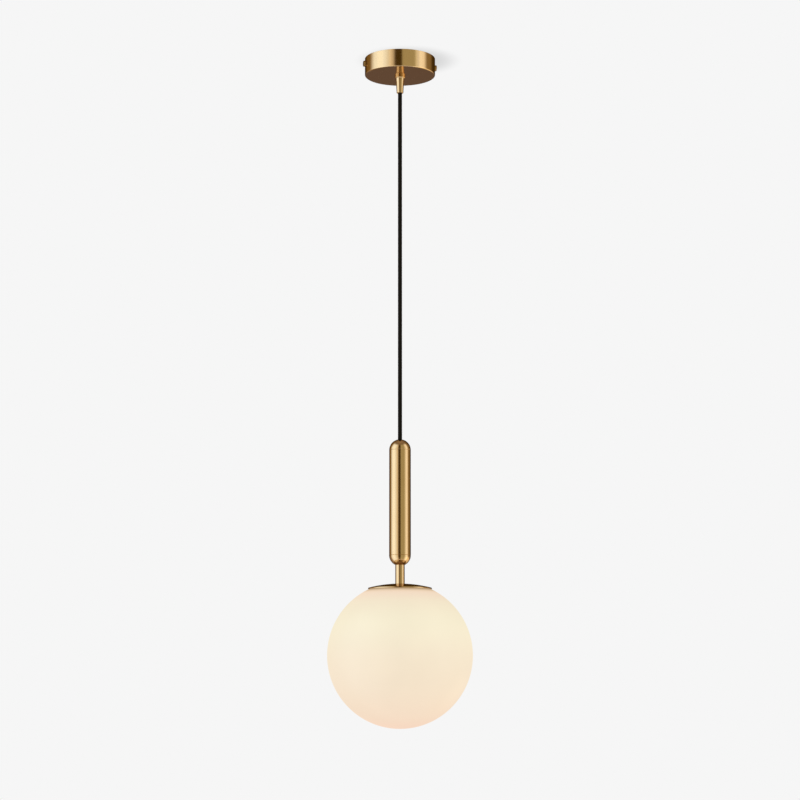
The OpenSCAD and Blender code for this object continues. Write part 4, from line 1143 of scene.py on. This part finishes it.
def makeRoom():
    world = bpy.data.worlds.new("room")
    scene.world = world
    tree = openNodes(world)
    direction = addNode(tree, "ShaderNodeTexCoord").outputs["Generated"]
    ahead, aside = [addNode(tree, "ShaderNodeVectorMath", {0: direction, 1: (*toward, 0.0)},
                            operation="DOT_PRODUCT") for toward in (toEye, toRight)]
    angle = addNode(tree, "ShaderNodeMath", {0: aside, 1: ahead}, operation="ARCTAN2")
    up = addNode(tree, "ShaderNodeSeparateXYZ", {0: direction}).outputs["Z"]
    rising = addNode(tree, "ShaderNodeMapRange", {
        "Value": up, "From Min": room["groundTop"], "From Max": room["darkFrom"]})
    low = addNode(tree, "ShaderNodeMix", {
        "Factor": rising, "A": room["ground"], "B": room["dark"]}, data_type="RGBA")
    topping = addNode(tree, "ShaderNodeMapRange", {
        "Value": up, "From Min": room["darkTo"], "From Max": room["ceilingFrom"]})
    total = addNode(tree, "ShaderNodeMix", {
        "Factor": topping, "A": low, "B": room["ceiling"]}, data_type="RGBA")
    for middle, half, edge, bottom, top, light in panels.values():
        off = addNode(tree, "ShaderNodeMath", {0: angle, 1: math.radians(middle)},
                      operation="SUBTRACT")
        wrapped = addNode(tree, "ShaderNodeMath", {0: off, 1: math.pi, 2: -math.pi},
                          operation="WRAP")
        away = addNode(tree, "ShaderNodeMath", {0: wrapped}, operation="ABSOLUTE")
        # The panel's two sides, its foot and its head, each feathered
        sides, foot, head = [addNode(tree, "ShaderNodeMapRange", {
            "Value": value, "From Min": outer, "From Max": inner},
            interpolation_type="SMOOTHSTEP") for value, outer, inner in (
                (away, math.radians(half + edge), math.radians(half)),
                (up, bottom, bottom + room["feather"]), (up, top, top - room["feather"]))]
        tall = addNode(tree, "ShaderNodeMath", {0: foot, 1: head}, operation="MULTIPLY")
        seen = addNode(tree, "ShaderNodeMath", {0: sides, 1: tall}, operation="MULTIPLY")
        lit = addNode(tree, "ShaderNodeVectorMath", {0: light, "Scale": seen},
                      operation="SCALE")
        total = addNode(tree, "ShaderNodeVectorMath", {0: total, 1: lit}, operation="ADD")
    studio = addNode(tree, "ShaderNodeBackground", {"Color": total})
    pale = addNode(tree, "ShaderNodeBackground", {"Color": linear(room["backdrop"])})
    straight = addNode(tree, "ShaderNodeLightPath").outputs["Is Camera Ray"]
    mixed = addNode(tree, "ShaderNodeMixShader", {0: straight, 1: studio, 2: pale})
    addNode(tree, "ShaderNodeOutputWorld", {"Surface": mixed})


# The cores of the two bright panels are lamps as well, in metres and degrees. Radiance is what a
# mirror would show of one
softboxes = {"height": 3.0, "middle": -0.3, "distance": 2.2, "radiance": 0.15,
             "keyLeft": {"angle": -68, "width": 0.9, "colour": (0.85, 0.86, 0.67)},
             "stripRight": {"angle": 71, "width": 0.35, "colour": (1.00, 0.91, 0.67)}}


def addSoftbox(name):
    box = softboxes[name]
    lamp = addObject(name, bpy.data.lights.new(name, "AREA"))
    lamp.data.shape = "RECTANGLE"
    lamp.data.size = box["width"]
    lamp.data.size_y = softboxes["height"]
    lamp.data.color = box["colour"]
    lamp.data.energy = softboxes["radiance"] * math.pi * box["width"] * softboxes["height"]
    toward = -math.pi / 2 - swing + math.radians(box["angle"])
    lamp.location = (softboxes["distance"] * math.cos(toward),
                     softboxes["distance"] * math.sin(toward), softboxes["middle"])
    lamp.rotation_euler = (math.pi / 2, 0, toward + math.pi / 2)
    lamp.visible_camera = False


def addSquare(name, side, material, faceUp):
    # A square of the stage, whose face shows from above or from below
    mesh = bpy.data.meshes.new(name)
    mesh.from_pydata([(-side, -side, 0), (side, -side, 0), (side, side, 0), (-side, side, 0)],
                     [], [(0, 1, 2, 3) if faceUp else (3, 2, 1, 0)])
    mesh.materials.append(material)
    return addObject(name, mesh)


def fadeOut(tree, coords, start, end):
    # 0 at the start radius, 1 at the end radius
    radius = addNode(tree, "ShaderNodeVectorMath", {0: coords}, operation="LENGTH")
    return addNode(tree, "ShaderNodeMapRange", {
        "Value": radius, "From Min": start, "From Max": end}, interpolation_type="SMOOTHSTEP")


def makeShade():
    # Painted shadow: the cup shades the ceiling round it, most at its right and behind. Only the
    # film of shade is drawn, and only seen from below
    shade = {"reach": 0.080, "full": 0.040, "right": 0.012, "behind": 0.010, "lift": 0.0004,
             "strength": 0.32, "deepest": (0.25, 0.25, 0.25, 1)}
    material, tree, coords = openMaterial("ceilingShade")
    fade = fadeOut(tree, coords, shade["reach"], shade["full"])
    depth = addNode(tree, "ShaderNodeMath", {0: fade, 1: shade["strength"]},
                    operation="MULTIPLY")
    back = addNode(tree, "ShaderNodeNewGeometry").outputs["Backfacing"]
    front = addNode(tree, "ShaderNodeMath", {0: 1.0, 1: back}, operation="SUBTRACT")
    paintedShadeAmount = addNode(tree, "ShaderNodeMath", {0: depth, 1: front}, operation="MULTIPLY")
    tone = addNode(tree, "ShaderNodeMix", {
        "Factor": paintedShadeAmount, "A": (1, 1, 1, 1), "B": shade["deepest"]}, data_type="RGBA")
    clear = addNode(tree, "ShaderNodeBsdfTransparent", {"Color": tone})
    addNode(tree, "ShaderNodeOutputMaterial", {"Surface": clear})
    film = addSquare("ceilingShade", shade["reach"], material, faceUp=False)
    film.location = (
        *[shade["right"] * toRight[i] - shade["behind"] * toEye[i] for i in (0, 1)],
        shade["lift"])
    film.visible_shadow = False
    film.visible_glossy = False
    film.visible_diffuse = False


def makeFloor():
    # Pale floor far below, which fades out towards its rim
    floor = {"height": -3.3, "reach": 2.6, "fadeFrom": 0.35, "fadeTo": 0.98, "paint": "#F0F0EE",
             "glow": 0.46}
    material, tree, coords = openMaterial("paleFloor")
    fade = fadeOut(tree, coords, floor["reach"] * floor["fadeFrom"],
                   floor["reach"] * floor["fadeTo"])
    paint = addNode(tree, "ShaderNodeBsdfDiffuse", {"Color": linear(floor["paint"])})
    glow = addNode(tree, "ShaderNodeEmission", {
        "Color": linear(floor["paint"]), "Strength": floor["glow"]})
    lit = addNode(tree, "ShaderNodeAddShader", {0: paint, 1: glow})  # as if by the room's lamps
    clear = addNode(tree, "ShaderNodeBsdfTransparent")
    mixed = addNode(tree, "ShaderNodeMixShader", {0: fade, 1: lit, 2: clear})
    addNode(tree, "ShaderNodeOutputMaterial", {"Surface": mixed})
    ground = addSquare("floor", floor["reach"], material, faceUp=True)
    ground.location = (0, 0, floor["height"])


makeRoom()
for name in ("keyLeft", "stripRight"):
    addSoftbox(name)
makeShade()
makeFloor()
print("stage set")

scene.view_settings.view_transform = "Standard"
